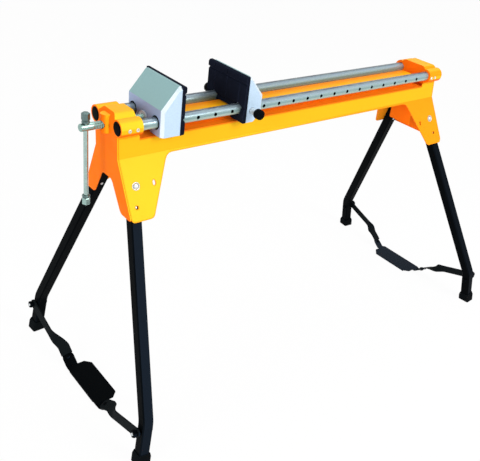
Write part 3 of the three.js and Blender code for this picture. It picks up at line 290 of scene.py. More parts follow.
def powder_coat(name, ledge_height=None, rim=False):
    """Orange-yellow powder coat with light and shade painted in by facing: deeper orange painted shade on end faces
    and undersides, painted light on tops and splayed skirts, and painted shade deepening toward the rear on the
    skirts.

    The pan has a ridge above its ledges, both in painted shade from the rails; the side panels' edges show a deeper
    rim of painted shade.
    """
    finish = Finish(name, roughness=0.36, specular=0.02)
    across, _, up = finish.axes("Normal")
    place = finish.axes("Object")
    # Painted shade: end faces and undersides mix toward a deep orange shade colour.
    ends = finish.span(finish.math("ABSOLUTE", across), 0.30, 0.85)
    under_shade = finish.span(up, -0.25, -0.55)
    # Painted light on splayed skirts, turning to painted shade toward the rear.
    skirt_light = finish.span(up, 0.05, 0.14)
    # Painted light: tops get their own lit colour.
    top_light = finish.span(up, 0.70, 0.95)
    skirt_light_and_shade = finish.mix(finish.span(place[0], -0.3, 0.4), PAINT_SKIRT_LIT, PAINT_REAR_SKIRT_SHADE)
    colour = finish.mix(skirt_light, PAINT_FACE, skirt_light_and_shade)
    if ledge_height is None:
        colour = finish.mix(top_light, colour, PAINT_TOP_LIT)
    else:
        # Painted shade: the ridge top between the rails, deeper toward the far side, and the ledges under the rails
        # in deep orange.
        ridge = finish.mix(finish.span(place[1], -0.015, 0.024), PAINT_RIDGE_SHADE, PAINT_RIDGE_FAR_SHADE)
        colour = finish.mix(top_light, colour, ridge)
        colour = finish.mix(finish.span(place[2], ledge_height + 0.004, ledge_height), colour, PAINT_LEDGE_SHADE)
    colour = finish.mix(finish.math("MAXIMUM", ends, under_shade), colour, PAINT_END_SHADE)
    clouds = finish.span(finish.noise(9, 4), 0.35, 0.70, 0.0, 0.10)
    colour = finish.mix(clouds, colour, shade(PAINT_FACE, 0.80))
    wear = finish.math("MULTIPLY", finish.edges(0.0010), finish.span(finish.noise(90, 5), 0.45, 0.70, 0.0, 0.25))
    colour = finish.mix(wear, colour, shade(PAINT_TOP_LIT, 0.80))
    # Painted shade: a deeper orange rim along the edges of the side panels.
    if rim:
        colour = finish.mix(finish.math("MULTIPLY", finish.edges(0.0060), 0.9), colour, PAINT_RIM_SHADE)
    finish.give("Base Color", colour)
    finish.give("Roughness", finish.span(finish.noise(60, 4), 0.3, 0.7, 0.30, 0.44))
    finish.bump(finish.noise(420, 2), 0.10, 0.0004)
    return finish.material


def bright_metal(name, colour, rough, stretch=(1, 1, 1), bands=None, metallic=1.0):
    """Turned or plated metal, with fine marks drawn out along one way; given bands are painted reflections by facing.
    """
    finish = Finish(name, roughness=rough, metallic=metallic, specular=0.3)
    marks = finish.noise(300, 4, stretch)
    dulled = finish.span(marks, 0.3, 0.7, 0.0, 0.5)
    # Painted reflection: colour bands by the upward part of the normal.
    bright = finish.bands(finish.axes("Normal")[2], bands) if bands else colour
    finish.give("Base Color", finish.mix(dulled, bright, shade(colour, 0.64)))
    finish.give("Roughness", finish.span(marks, 0.3, 0.75, rough * 0.75, rough * 1.5))
    finish.bump(marks, 0.03, 0.0001)
    return finish.material


def cast_metal(name):
    """Cast aluminium with light and shade painted in by facing: lit bright sides, a painted highlight on the bevels,
    a greyer sloped back and a bluish upright back in painted shade.
    """
    finish = Finish(name, roughness=0.45, metallic=0.25, specular=0.4)
    _, across, up = finish.axes("Normal")
    across = finish.math("ABSOLUTE", across)
    grain = finish.noise(520, 5)
    # Painted light and shade by facing: shaded backs, highlighted bevels and lit sides.
    colour = finish.mix(finish.span(up, 0.15, 0.45), CAST_BACK_SHADE, CAST_SLOPE_SHADE)
    colour = finish.mix(finish.span(across, 0.35, 0.65), colour, CAST_BEVEL_HIGHLIGHT)
    colour = finish.mix(finish.span(across, 0.75, 0.97), colour, CAST_SIDE_LIT)
    colour = finish.mix(finish.span(grain, 0.35, 0.75, 0.0, 0.14), colour, shade(CAST_BACK_SHADE, 0.62))
    colour = finish.mix(finish.span(finish.noise(14, 3), 0.4, 0.7, 0.0, 0.12), colour, shade(CAST_SLOPE_SHADE, 0.8))
    finish.give("Base Color", colour)
    finish.give("Roughness", finish.span(grain, 0.3, 0.7, 0.36, 0.56))
    finish.bump(grain, 0.16, 0.0004)
    return finish.material


def black_coat(name, colour=BLACK_PAINT):
    """Black paint on tube and sheet, a little lighter along rubbed edges, and with painted light on the outer sides,
    most at the front.
    """
    finish = Finish(name, roughness=0.42, specular=0.01)
    grain = finish.noise(340, 4)
    _, across, up = finish.axes("Normal")
    # Painted light: sides facing out and a little up are lighter, most at the front.
    sides = finish.span(finish.math("ABSOLUTE", across), 0.55, 0.85)
    lit = finish.math("MULTIPLY", sides, finish.span(up, -0.05, 0.15))
    lit = finish.math("MULTIPLY", lit, finish.span(finish.axes("Object")[0], -0.2, 0.5, 1.0, 0.35))
    colour = finish.mix(lit, colour, BLACK_SIDE_LIT)
    scuffs = finish.span(finish.noise(28, 6, (1, 1, 0.35)), 0.58, 0.72, 0.0, 0.3)
    colour = finish.mix(scuffs, colour, shade(BLACK_PAINT, 2.2))
    wear = finish.math("MULTIPLY", finish.edges(0.0015), finish.span(finish.noise(120, 5), 0.4, 0.65, 0.1, 0.4))
    colour = finish.mix(wear, colour, shade(BLACK_PAINT, 4.0))
    finish.give("Base Color", colour)
    finish.give("Roughness", finish.span(grain, 0.3, 0.7, 0.36, 0.52))
    finish.bump(grain, 0.12, 0.0004)
    return finish.material


def dull_black(name, colour, rough, grain):
    """Rubber or moulded plastic with a fine moulded grain and paler edges, partly rubbed wear and partly a painted
    highlight that also lines grooves.
    """
    finish = Finish(name, roughness=rough, specular=0.01)
    spots = finish.noise(grain, 5)
    dust = finish.span(finish.noise(45, 4), 0.5, 0.8, 0.0, 0.4)
    dusty = finish.mix(dust, colour, shade(colour, 2.2))
    # Paler edges: rubbed wear plus a painted highlight, on hollow edges as well as outer ones.
    rubbed = finish.math("MULTIPLY", finish.edges(0.0014), 0.6)
    finish.give("Base Color", finish.mix(rubbed, dusty, shade(colour, 5.0)))
    finish.give("Roughness", finish.span(spots, 0.3, 0.7, rough * 0.85, rough * 1.15))
    finish.bump(spots, 0.22, 0.0005)
    return finish.material


LEDGE_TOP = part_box("top_pan")[0].z + 0.012
FINISHES = {
    "yellow_paint": powder_coat("yellow_powder_coat"),
    "panel_paint": powder_coat("yellow_powder_coat_panel", rim=True),
    "pan_paint": powder_coat("yellow_powder_coat_pan", LEDGE_TOP),
    "chrome": bright_metal("chromed_steel", CHROME, 0.20, (0.15, 1, 1)),
    "rail_chrome": bright_metal("chromed_rail", CHROME, 0.24, (0.15, 1, 1), CHROME_REFLECTION_BANDS, 0.30),
    "bore": dull_black("shaded_bore", BORE_SHADE, 0.60, 300),
    "screw_steel": bright_metal("turned_steel", SCREW_STEEL, 0.26, (0.15, 1, 1)),
    "zinc": bright_metal("zinc_plated_steel", ZINC, 0.32, metallic=0.55),
    "cap_steel": bright_metal("dull_steel", CAP_STEEL, 0.38),
    "cap_bright": bright_metal("brushed_steel", CAP_BRIGHT, 0.34),
    "bronze": bright_metal("bronze", BRONZE, 0.32),
    "cast_aluminium": cast_metal("cast_aluminium"),
    "black_paint": black_coat("black_paint"),
    "strap_paint": black_coat("strap_paint", STRAP_PAINT),
    # Painted light on the rear foot plates.
    "lit_plate_paint": black_coat("lit_plate_paint", LIT_PLATE_PAINT),
    "rubber": dull_black("rubber", RUBBER, 0.70, 700),
    "foot_rubber": dull_black("foot_rubber", FOOT_RUBBER, 0.70, 700),
    "black_plastic": dull_black("black_plastic", PLASTIC, 0.42, 500),
}

# First matching start of a node's name gives its finish and the radius of its rounded edges
NODE_LOOKS = (
    ("side_panel", "panel_paint", 0.0010),
    ("front_plate", "yellow_paint", 0.0008),
    ("rear_plate", "yellow_paint", 0.0008),
    ("front_head", "yellow_paint", 0.0012),
    ("rear_head", "yellow_paint", 0.0012),
    ("top_pan", "pan_paint", 0.0008),
    ("rail_plug", "black_plastic", 0.0006),
    ("rail", "rail_chrome", 0.0003),
    ("lead_screw", "chrome", 0.0005),
    ("tommy_bar", "chrome", 0.0004),
    ("tommy_cap", "zinc", 0.0006),
    ("thrust_collar", "zinc", 0.0004),
    ("screw_nut", "bronze", 0.0004),
    ("front_jaw_pad", "rubber", 0.0010),
    ("rear_jaw_pad", "rubber", 0.0010),
    ("front_jaw_bush", "black_plastic", 0.0005),
    ("front_jaw", "cast_aluminium", 0.0012),
    ("rear_jaw", "cast_aluminium", 0.0012),
    ("lock_housing", "zinc", 0.0005),
    ("lock_pin", "zinc", 0.0004),
    ("lock_knob", "black_plastic", 0.0006),
    ("lock_spring", "zinc", 0.0),
    ("leg", "black_paint", 0.0010),
    ("spreader_link", "strap_paint", 0.0006),
    # The rear foot plates take a lighter black as painted light.
    ("foot_plate_rear", "lit_plate_paint", 0.0007),
    ("foot_plate", "black_paint", 0.0007),
    ("foot", "foot_rubber", 0.0012),
    ("pivot_bolt", "zinc", 0.0005),
    ("snap_button", "zinc", 0.0005),
    ("spreader_bolt", "black_paint", 0.0005),
    ("plate_rivet", "black_paint", 0.0004),
)


def look_of(name):
    return next(look for look in NODE_LOOKS if name.startswith(look[0]))


def round_edges(piece, radius, turn=21):
    """Joined corners, small rounds along sharp edges, and smooth faces between them."""
    weld = piece.modifiers.new("join", "WELD")
    weld.merge_threshold = 1e-6
    if radius > 0:
        flat = piece.modifiers.new("flats", "DECIMATE")
        flat.decimate_type = "DISSOLVE"
        flat.angle_limit = math.radians(0.5)
        bevel = piece.modifiers.new("edges", "BEVEL")
        bevel.width = radius
        bevel.segments = 2
        bevel.limit_method = "ANGLE"
        bevel.angle_limit = math.radians(turn)
        bevel.harden_normals = True
    piece.data.shade_smooth()


def paint_over(piece, finish):
    piece.data.materials.clear()
    piece.data.materials.append(FINISHES[finish])


def add_piece(name, mesh, body, slot, finish=None):
    """A new piece that rides on a body and takes its finish from a slot of the record."""
    piece = bpy.data.objects.new(name, mesh)
    bpy.context.scene.collection.objects.link(piece)
    paint_over(piece, finish or slot)
    mesh.shade_smooth()
    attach(piece, body)
    return piece


def mesh_from(build):
    mesh = bpy.data.meshes.new("piece")
    bmesh.ops.recalc_face_normals(build, faces=build.faces[:])
    build.to_mesh(mesh)
    build.free()
    return mesh


def along(place, axis):
    """The placing that lays local +Z along an axis through a place."""
    return Matrix.Translation(place) @ Vector((0, 0, 1)).rotation_difference(Vector(axis)).to_matrix().to_4x4()


def turned(profile, place, axis, sides=32, closed=False):
    """A form turned round an axis from (radius, height) pairs; a closed profile makes a ring."""
    build = bmesh.new()
    rows = []
    for radius, height in profile:
        steps = sides if radius > 0 else 1
        angles = [math.tau * step / sides for step in range(steps)]
        rows.append([build.verts.new((radius * math.cos(a), radius * math.sin(a), height)) for a in angles])
    pairs = list(zip(rows, rows[1:]))
    if closed:
        pairs.append((rows[-1], rows[0]))
    for lower, upper in pairs:
        for step in range(sides):
            after = (step + 1) % sides
            corners = [lower[step % len(lower)], lower[after % len(lower)],
                       upper[after % len(upper)], upper[step % len(upper)]]
            build.faces.new(list(dict.fromkeys(corners)))
    bmesh.ops.transform(build, matrix=along(place, axis), verts=build.verts[:])
    return mesh_from(build)


def add_box(build, low, high):
    corners = bmesh.ops.create_cube(build, size=1)["verts"]
    for corner in corners:
        share = corner.co + Vector((0.5, 0.5, 0.5))
        corner.co = Vector(a + (b - a) * s for a, b, s in zip(low, high, share))


def cut(piece, cutter_mesh):
    """Takes a closed cutter out of a piece for good."""
    cutter = bpy.data.objects.new("cutter", cutter_mesh)
    bpy.context.scene.collection.objects.link(cutter)
    boolean = piece.modifiers.new("cut", "BOOLEAN")
    boolean.object = cutter
    boolean.operation = "DIFFERENCE"
    boolean.solver = "EXACT"
    graph = bpy.context.evaluated_depsgraph_get()
    done = bpy.data.meshes.new_from_object(piece.evaluated_get(graph))
    piece.modifiers.clear()
    piece.data = done
    bpy.data.objects.remove(cutter)


def joined(meshes):
    """Several meshes as one."""
    build = bmesh.new()
    for mesh in meshes:
        build.from_mesh(mesh)
    return mesh_from(build)


def middle(node):
    low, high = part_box(node)
    return (low + high) / 2


def dress_nodes():
    for name, node in nodes.items():
        _, finish, radius = look_of(name)
        if node.data.attributes.get("custom_normal"):
            node.data.attributes.remove(node.data.attributes["custom_normal"])
        paint_over(node, finish)
        round_edges(node, radius)


def make_rails():
    """Both chromed tubes, with a row of lock holes in their outer walls."""
    pin = middle("lock_pin").x
    drill = [(0, 0), (LOCK_HOLE_RADIUS, 0), (LOCK_HOLE_RADIUS, 2 * RAIL_RADIUS), (0, 2 * RAIL_RADIUS)]
    for side in SIDES:
        node = f"rail_{side}"
        low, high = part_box(node)
        centre = middle(node)
        start = Vector((low.x, centre.y, centre.z))
        length = high.x - low.x
        profile = [(RAIL_BORE, 0), (RAIL_RADIUS, 0), (RAIL_RADIUS, length), (RAIL_BORE, length)]
        tube = turned(profile, start, (1, 0, 0), RAIL_SIDES, closed=True)
        rail = add_piece(f"{node}_tube", tube, "bench_frame", "chrome", "rail_chrome")
        outward = OUTWARD[side]
        holes = []
        for index in range(LOCK_HOLE_COUNT):
            x = pin + (index - LOCK_PIN_HOLE) * LOCK_HOLE_PITCH
            mouth = Vector((x, centre.y + 2 * outward * RAIL_RADIUS, centre.z))
            holes.append(turned(drill, mouth, (0, -outward, 0), 28))
        cut(rail, joined(holes))
        # The inner wall and hole walls take the near-black bore colour, painted shade inside the tube.
        rail.data.materials.append(FINISHES["bore"])
        for face in rail.data.polygons:
            reach = math.hypot(face.center.y - centre.y, face.center.z - centre.z)
            face.material_index = int(reach < RAIL_RADIUS - SKIN)
        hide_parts(node)
        round_edges(rail, 0.0004)


def make_set_screws():
    """Two set screws in each sleeve of both heads."""
    head = [(0, -0.002), (SET_SCREW_RADIUS, -0.002), (SET_SCREW_RADIUS, SET_SCREW_PROUD * 0.5),
            (SET_SCREW_RADIUS * 0.8, SET_SCREW_PROUD), (SET_SCREW_RADIUS * 0.5, SET_SCREW_PROUD),
            (SET_SCREW_RADIUS * 0.45, -0.0004), (0, -0.0004)]
    for end in ENDS:
        low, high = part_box(f"{end}_head")
        for side in SIDES:
            outward = OUTWARD[side]
            y = low.y if outward < 0 else high.y
            for number, x in enumerate(SET_SCREW_PLACES[end], 1):
                place = (x, y, middle("rail_near").z - SET_SCREW_DROP)
                screw = turned(head, place, (0, outward, 0), 24)
                add_piece(f"set_screw_{end}_{side}_{number}", screw, "bench_frame", "zinc")


def outline_prism(points, low_y, high_y):
    """A closed outline in (x, z), drawn out along y."""
    build = bmesh.new()
    rows = [[build.verts.new((x, y, z)) for x, z in points] for y in (low_y, high_y)]
    count = len(points)
    for step in range(count):
        after = (step + 1) % count
        build.faces.new((rows[0][step], rows[0][after], rows[1][after], rows[1][step]))
    for row in rows:
        build.faces.new(row)
    return mesh_from(build)


def box_mesh(low, high):
    build = bmesh.new()
    add_box(build, low, high)
    return mesh_from(build)


def make_washers():
    """A washer round the head of each leg's pivot bolt."""
    ring = [(WASHER_INNER, SKIN), (WASHER_OUTER - SKIN, SKIN), (WASHER_OUTER, 2 * SKIN),
            (WASHER_OUTER, WASHER_HEIGHT - SKIN), (WASHER_OUTER - 2 * SKIN, WASHER_HEIGHT),
            (WASHER_INNER, WASHER_HEIGHT)]
    for end in ENDS:
        for side in SIDES:
            joint = joints[f"{end}_leg_{side}_fold"]
            axis = Vector(joint["axis"])
            axis *= math.copysign(1, axis.y * OUTWARD[side])
            pivot = Vector(joint["pos_m"])
            bolt = nodes[f"pivot_bolt_{end}_{side}"].data.vertices
            wall = max((corner.co - pivot).dot(axis) for corner in bolt) - BOLT_HEAD - SKIN
            washer = turned(ring, pivot + axis * wall, axis, 40, closed=True)
            add_piece(f"washer_{end}_{side}", washer, "bench_frame", "zinc")


def make_button_ends():
    """The rounded inner end of each snap button, on the inner wall of its leg."""
    radius = BUTTON_END_RADIUS
    height = BUTTON_END_HEIGHT
    dome = [(0, -0.3 * height), (radius, -0.3 * height), (radius, 0.25 * height), (radius * 0.85, 0.65 * height),
            (radius * 0.5, 0.92 * height), (0, height)]
    for end in ENDS:
        for side in SIDES:
            axis = Vector(joints[f"{end}_button_{side}_snap"]["axis"])
            place = middle(f"snap_button_{end}_{side}") - axis * BUTTON_TO_INNER_WALL
            button = turned(dome, place, -axis, 28)
            add_piece(f"button_end_{end}_{side}", button, f"leg_{end}_{side}", "zinc")


def make_nuts():
    """A six-sided nut and the bright bolt end in it, outside each spreader link."""
    nut = [(NUT_INNER, NUT_SEAT), (NUT_RADIUS - 0.0008, NUT_SEAT), (NUT_RADIUS, NUT_SEAT + 0.0006),
           (NUT_RADIUS, NUT_FACE - 0.0009), (NUT_RADIUS - 0.0010, NUT_FACE), (NUT_HOLE, NUT_FACE),
           (NUT_HOLE, NUT_FACE - 0.0005), (NUT_INNER, NUT_FACE - 0.0005)]
    tip = [(0, BOLT_END), (BOLT_END_RADIUS, BOLT_END), (BOLT_END_RADIUS, BOLT_END + 0.0022),
           (BOLT_END_RADIUS * 0.86, BOLT_END + 0.0032), (0, BOLT_END + 0.0036)]
    for end, look in (("front", -1), ("rear", 1)):
        for side in SIDES:
            joint = joints[f"{end}_link_{side}_swing"]
            axis = Vector(joint["axis"])
            axis *= math.copysign(1, axis.x * look)
            body = f"leg_{end}_{side}"
            piece = add_piece(f"spreader_nut_{end}_{side}", turned(nut, joint["pos_m"], axis, 6, closed=True),
                              body, "black_paint")
            round_edges(piece, 0.0004)
            add_piece(f"bolt_end_{end}_{side}", turned(tip, joint["pos_m"], axis, 28), body, "zinc")


def strap_ring(centre, across, through, width):
    """Four corners of a strap's section."""
    wide = across * width / 2
    deep = through * LINK_SHEET / 2
    return [centre - wide - deep, centre + wide - deep, centre + wide + deep, centre - wide + deep]


def strap_rings(bolt, outer, rivet, face, open_end):
    """Sections of a link: flat on the leg, then turned to lie flat on the tab of the foot plate."""
    along_link = (rivet - bolt).normalized()
    up = along_link.cross(outer).normalized()
    up *= math.copysign(1, up.z)
    across = (Vector((1, 0, 0)) - face * face.x).normalized()
    inward = face.cross(across)
    inward *= math.copysign(1, inward.y)
    on_leg = (along_link - outer * along_link.dot(outer)).normalized()
    half = LINK_WIDTH / 2
    start = bolt + on_leg * half
    flat = rivet - inward * LINK_FOOT_WIDTH
    rings = []
    for share in reversed(LINK_ROUND):
        width = LINK_WIDTH * math.sqrt(1 - share ** 2)
        rings.append(strap_ring(bolt - on_leg * half * share, up, on_leg.cross(up), width))
    rings.append(strap_ring(start, up, on_leg.cross(up), LINK_WIDTH))
    for step in range(LINK_STEPS + 1):
        turn = step / LINK_STEPS
        share = turn * turn * (3 - 2 * turn)
        wide = up.lerp(across, share).normalized()
        centre = start.lerp(flat, LINK_TWIST_START + (1 - LINK_TWIST_START) * turn)
        centre = centre + outer * (bolt - centre).dot(outer) * (1 - share)
        width = LINK_WIDTH + (LINK_FOOT_WIDTH - LINK_WIDTH) * share
        rings.append(strap_ring(centre, wide, along_link.cross(wide).normalized(), width))
    tips = [(-LINK_OPEN_END, 1.0)]
    if not open_end:
        tips = [(share * LINK_FOOT_WIDTH / 2, math.sqrt(1 - share ** 2)) for share in LINK_ROUND]
    for reach, narrowed in tips:
        rings.append(strap_ring(rivet + inward * reach, across, inward.cross(across), LINK_FOOT_WIDTH * narrowed))
    return rings


def make_links():
    """Twisted straps between the legs and the foot plates; the far one stops short of its rivet."""
    drill = [(0, -2 * LINK_SHEET), (1, -2 * LINK_SHEET), (1, 2 * LINK_SHEET), (0, 2 * LINK_SHEET)]
    for end, look in (("front", -1), ("rear", 1)):
        swing = joints[f"{end}_link_near_swing"]
        plate = joints[f"{end}_foot_plate_turn"]
        bolt = Vector(swing["pos_m"])
        outer = Vector(swing["axis"])
        outer *= math.copysign(1, outer.x * look)
        rivet = Vector(plate["pos_m"])
        face = Vector(plate["axis"])
        face *= math.copysign(1, face.z)
        for side in SIDES:
            mirror = Vector((1, -OUTWARD[side], 1))
            build = bmesh.new()
            rows = [[build.verts.new(corner * mirror) for corner in ring]
                    for ring in strap_rings(bolt, outer, rivet, face, side == "far")]
            for lower, upper in zip(rows, rows[1:]):
                for step in range(4):
                    after = (step + 1) % 4
                    build.faces.new((lower[step], lower[after], upper[after], upper[step]))
            build.faces.new(rows[0])
            build.faces.new(rows[-1])
            link = add_piece(f"strap_{end}_{side}", mesh_from(build), f"link_{end}_{side}", "black_paint", "strap_paint")
            hole = [(radius * LINK_BOLT_HOLE, height) for radius, height in drill]
            cut(link, turned(hole, bolt * mirror, outer * mirror, 32))
            if side == "near":
                hole = [(radius * LINK_RIVET_HOLE, height) for radius, height in drill]
                cut(link, turned(hole, rivet, face, 32))
            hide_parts(f"spreader_link_{end}_{side}")
            round_edges(link, 0.0006)


def make_webs():
    """The cross plate between the beam's walls that closes the inner side of each tower."""
    corner = [(WEB_ROUND * (1 - math.sin(a)), WEB_ROUND * (1 - math.cos(a)))
              for a in (math.radians(15 * step) for step in range(7))]
    right = [(WEB_HALF - inset, WEB_LOW + rise) for rise, inset in corner]
    right = sorted(right, key=lambda point: point[1])
    right += [(WEB_HALF, WEB_SHOULDER - 0.008), (WEB_SHOULDER_HALF, WEB_SHOULDER), (WEB_SHOULDER_HALF, WEB_HIGH)]
    outline = right + [(-y, z) for y, z in reversed(right)]
    for end, look in (("front", 1), ("rear", -1)):
        x = joints[f"{end}_leg_near_fold"]["pos_m"][0] + look * WEB_SETBACK
        mesh = outline_prism(outline, -WEB_SHEET / 2, WEB_SHEET / 2)
        mesh.transform(Matrix.Translation((x, 0, 0)) @ Matrix.Rotation(math.pi / 2, 4, "Z"))
        web = add_piece(f"tower_web_{end}", mesh, "bench_frame", "yellow_paint")
        round_edges(web, 0.0006)


def make_pads():
    """Ribbed rubber facings: a top lip, two long grooves, upright seams, and arches over the rails."""
    rail = middle("rail_near")
    for jaw, look in (("front", 1), ("rear", -1)):
        node = f"{jaw}_jaw_pad"
        low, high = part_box(node)
        back = low.x if look > 0 else high.x
        lip = high.x - low.x
        top = high.z
        deep = lip - PAD_GROOVE
        half = PAD_GROOVE_BREADTH / 2
        first = top - PAD_TOP_LIP
        second = top - PAD_LOW_GROOVE
        steps = [(0, low.z), (0, top), (lip * 0.55, top), (lip * 0.85, top - 0.0015), (lip, top - 0.005),
                 (lip, first + 2.4 * half), (lip - 0.0012, first + 1.3 * half), (deep, first + 0.4 * half),
                 (deep, first - 0.4 * half), (PAD_FIELD - 0.001, first - 1.2 * half),
                 (PAD_FIELD, first - 2.0 * half), (PAD_FIELD, second + 2.0 * half),
                 (PAD_FIELD - 0.001, second + 1.2 * half), (deep, second + 0.4 * half),
                 (deep, second - 0.4 * half), (lip - 0.0012, second - 2.4 * half), (lip, second - 4 * half),
                 (lip, low.z + 0.004), (lip - 0.002, low.z)]
        outline = [(back + look * reach, height) for reach, height in steps]
        pad = add_piece(f"{jaw}_pad_rubber", outline_prism(outline, low.y, high.y), "%s_jaw" % jaw, "rubber")
        face = back + look * lip
        seams = [box_mesh((min(face - look * PAD_SEAM_DEPTH, face + look * lip), y - PAD_SEAM_WIDTH / 2, low.z - lip),
                          (max(face - look * PAD_SEAM_DEPTH, face + look * lip), y + PAD_SEAM_WIDTH / 2, top + lip))
                 for y in PAD_SEAMS]
        cut(pad, joined(seams))
        reach = 3 * lip
        bore = [(0, 0), (PAD_ARCH, 0), (PAD_ARCH, 2 * reach), (0, 2 * reach)]
        for y in (-abs(rail.y), abs(rail.y)):
            cut(pad, turned(bore, (back - reach, y, rail.z), (1, 0, 0), 48))
        roof = max(corner.co.z for corner in nodes[node].data.vertices
                   if abs(corner.co.y) < PAD_CHANNEL + SKIN and corner.co.z < rail.z + PAD_ARCH)
        cut(pad, box_mesh((back - reach, -PAD_CHANNEL, low.z - lip), (back + reach, PAD_CHANNEL, roof)))
        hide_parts(node)
        round_edges(pad, 0.0007)


def make_screw():
    """The lead screw: a plain nose with the cross hole, then a thread to its end in the jaw."""
    low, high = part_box("lead_screw")
    centre = middle("lead_screw")
    radius = (high.z - low.z) / 2
    length = high.x - low.x
    stations = [0, SCREW_CHAMFER, THREAD_START]
    pitch_step = SCREW_LEAD / THREAD_STEPS
    count = int((length - THREAD_START - SCREW_CHAMFER) / pitch_step)
    stations += [THREAD_START + pitch_step * (step + 1) for step in range(count)]
    stations += [length - SCREW_CHAMFER, length]
    build = bmesh.new()
    rows = []
    for station in stations:
        nose = min(station, length - station, SCREW_CHAMFER)
        grown = min(1, max(0, (station - THREAD_START) / THREAD_RUNOUT))
        row = []
        for step in range(SCREW_SIDES):
            angle = math.tau * step / SCREW_SIDES
            turn = (station / SCREW_LEAD - step / SCREW_SIDES) % 1
            flank = min(1, max(0, 2.5 * (0.5 - abs(turn - 0.5)) - 0.12))
            r = radius - (SCREW_CHAMFER - nose) - THREAD_DEPTH * grown * flank
            row.append(build.verts.new((low.x + station, centre.y + r * math.cos(angle),
                                        centre.z + r * math.sin(angle))))
        rows.append(row)
    for lower, upper in zip(rows, rows[1:]):
        for step in range(SCREW_SIDES):
            after = (step + 1) % SCREW_SIDES
            build.faces.new((lower[step], lower[after], upper[after], upper[step]))
    build.faces.new(rows[0])
    build.faces.new(rows[-1])
    screw = add_piece("threaded_screw", mesh_from(build), "lead_screw", "chrome", "screw_steel")
    bar = middle("tommy_bar")
    hole = [(0, -2 * radius), (TOMMY_HOLE, -2 * radius), (TOMMY_HOLE, 2 * radius), (0, 2 * radius)]
    cut(screw, turned(hole, (bar.x, bar.y, centre.z), (0, 0, 1), 40))
    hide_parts("lead_screw")
    screw.data.shade_smooth()
    screw.data.set_sharp_from_angle(angle=math.radians(38))


def make_tommy_caps():
    """Six-sided caps with a turned collar, on the ends of the tommy bar."""
    bar = (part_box("tommy_bar")[1].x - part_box("tommy_bar")[0].x) / 2
    for place in ("upper", "lower"):
        node = f"tommy_cap_{place}"
        low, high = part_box(node)
        centre = middle(node)
        radius = (high.x - low.x) / 2
        height = high.z - low.z
        start = high if place == "upper" else low
        axis = (0, 0, -1) if place == "upper" else (0, 0, 1)
        wide = radius * 1.07
        flat = radius * CAP_FLAT_SHARE
        bore = bar + SKIN
        six = [(0, 0), (flat - 0.002, 0), (wide, 0.0022), (wide, height - 0.0080), (flat, height - 0.0066)]
        cap = turned(six + [(0, height - 0.0066)], (centre.x, centre.y, start.z), axis, 6)
        collar = [(bore, height - 0.0066 + SKIN), (radius * 0.86, height - 0.0066 + SKIN),
                  (radius * 0.86, height - 0.0046), (radius, height - 0.0040), (radius, height - 0.0010),
                  (radius - 0.001, height), (bore, height)]
        ring = turned(collar, (centre.x, centre.y, start.z), axis, 40, closed=True)
        inner = [(0, 0.0062), (bore, 0.0062), (bore, 2 * height), (0, 2 * height)]
        look = "cap_steel" if place == "upper" else "cap_bright"
        piece = add_piece(f"{node}_six", cap, "tommy_bar", "zinc", look)
        cut(piece, turned(inner, (centre.x, centre.y, start.z), axis, 40))
        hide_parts(node)
        round_edges(piece, 0.0006)
        rim = add_piece(f"{node}_collar", ring, "tommy_bar", "zinc", "cap_steel")
        round_edges(rim, 0.0003)


def make_knobs():
    """Fluted cup knobs of both lock pins with a cross in their faces, and the pin of the far one."""
    low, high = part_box("lock_knob")
    radius = (high.x - low.x) / 2
    length = high.y - low.y
    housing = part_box("lock_housing")
    cup = (housing[1].x - housing[0].x) / 2 + 0.0005
    rows = [(radius - 0.0030, 0), (radius - 0.0008, 0.0012), (radius, 0.0030), (radius, length - 0.0030),
            (radius - 0.0010, length - 0.0008), (radius - 0.0020, length), (cup, length), (cup, KNOB_FACE)]
    sides = KNOB_FLUTES * 6
    arm = radius * 0.68
    half = KNOB_CROSS / 2
    for side, node, body in (("near", "lock_knob", "lock_pin"), ("far", "lock_pin_far", "lock_pin_far")):
        build = bmesh.new()
        rings = []
        for number, (reach, height) in enumerate(rows):
            ring = []
            for step in range(sides):
                angle = math.tau * step / sides
                wave = 0.5 - 0.5 * math.cos(KNOB_FLUTES * angle)
                outer = reach > radius - 0.0012 and number < 6
                r = reach - (KNOB_FLUTE_DEPTH * wave if outer else 0)
                ring.append(build.verts.new((r * math.cos(angle), r * math.sin(angle), height)))
            rings.append(ring)
        for lower, upper in zip(rings, rings[1:]):
            for step in range(sides):
                after = (step + 1) % sides
                build.faces.new((lower[step], lower[after], upper[after], upper[step]))
        build.faces.new(rings[0])
        build.faces.new(rings[-1])
        outward = OUTWARD[side]
        centre = middle(node)
        low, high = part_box(node)
        face = low.y if outward < 0 else high.y
        bmesh.ops.transform(build, matrix=along((centre.x, face, centre.z), (0, -outward, 0)), verts=build.verts[:])
        knob = add_piece(f"fluted_knob_{side}", mesh_from(build), body, "black_plastic")
        for wide, tall in ((arm, half), (half, arm)):
            cut(knob, box_mesh((centre.x - wide, face - KNOB_CROSS_DEPTH, centre.z - tall),
                               (centre.x + wide, face + KNOB_CROSS_DEPTH, centre.z + tall)))
        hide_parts(node)
        knob.data.shade_smooth()
        knob.data.set_sharp_from_angle(angle=math.radians(35))
    pin = (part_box("lock_pin_far")[1].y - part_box("lock_pin_far")[0].y) - KNOB_FACE - SKIN
    tip = LOCK_PIN_RADIUS - LOCK_PIN_CHAMFER
    profile = [(0, 0), (tip, 0), (LOCK_PIN_RADIUS, LOCK_PIN_CHAMFER), (LOCK_PIN_RADIUS, pin), (0, pin)]
    centre = middle("lock_pin_far")
    start = (centre.x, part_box("lock_pin_far")[0].y, centre.z)
    far_pin = add_piece("far_pin", turned(profile, start, (0, 1, 0), 32), "lock_pin_far", "zinc")
    round_edges(far_pin, 0.0004)


dress_nodes()
make_rails()
make_set_screws()
make_washers()
make_button_ends()
make_nuts()
make_links()
make_webs()
make_pads()
make_screw()
make_tommy_caps()
make_knobs()


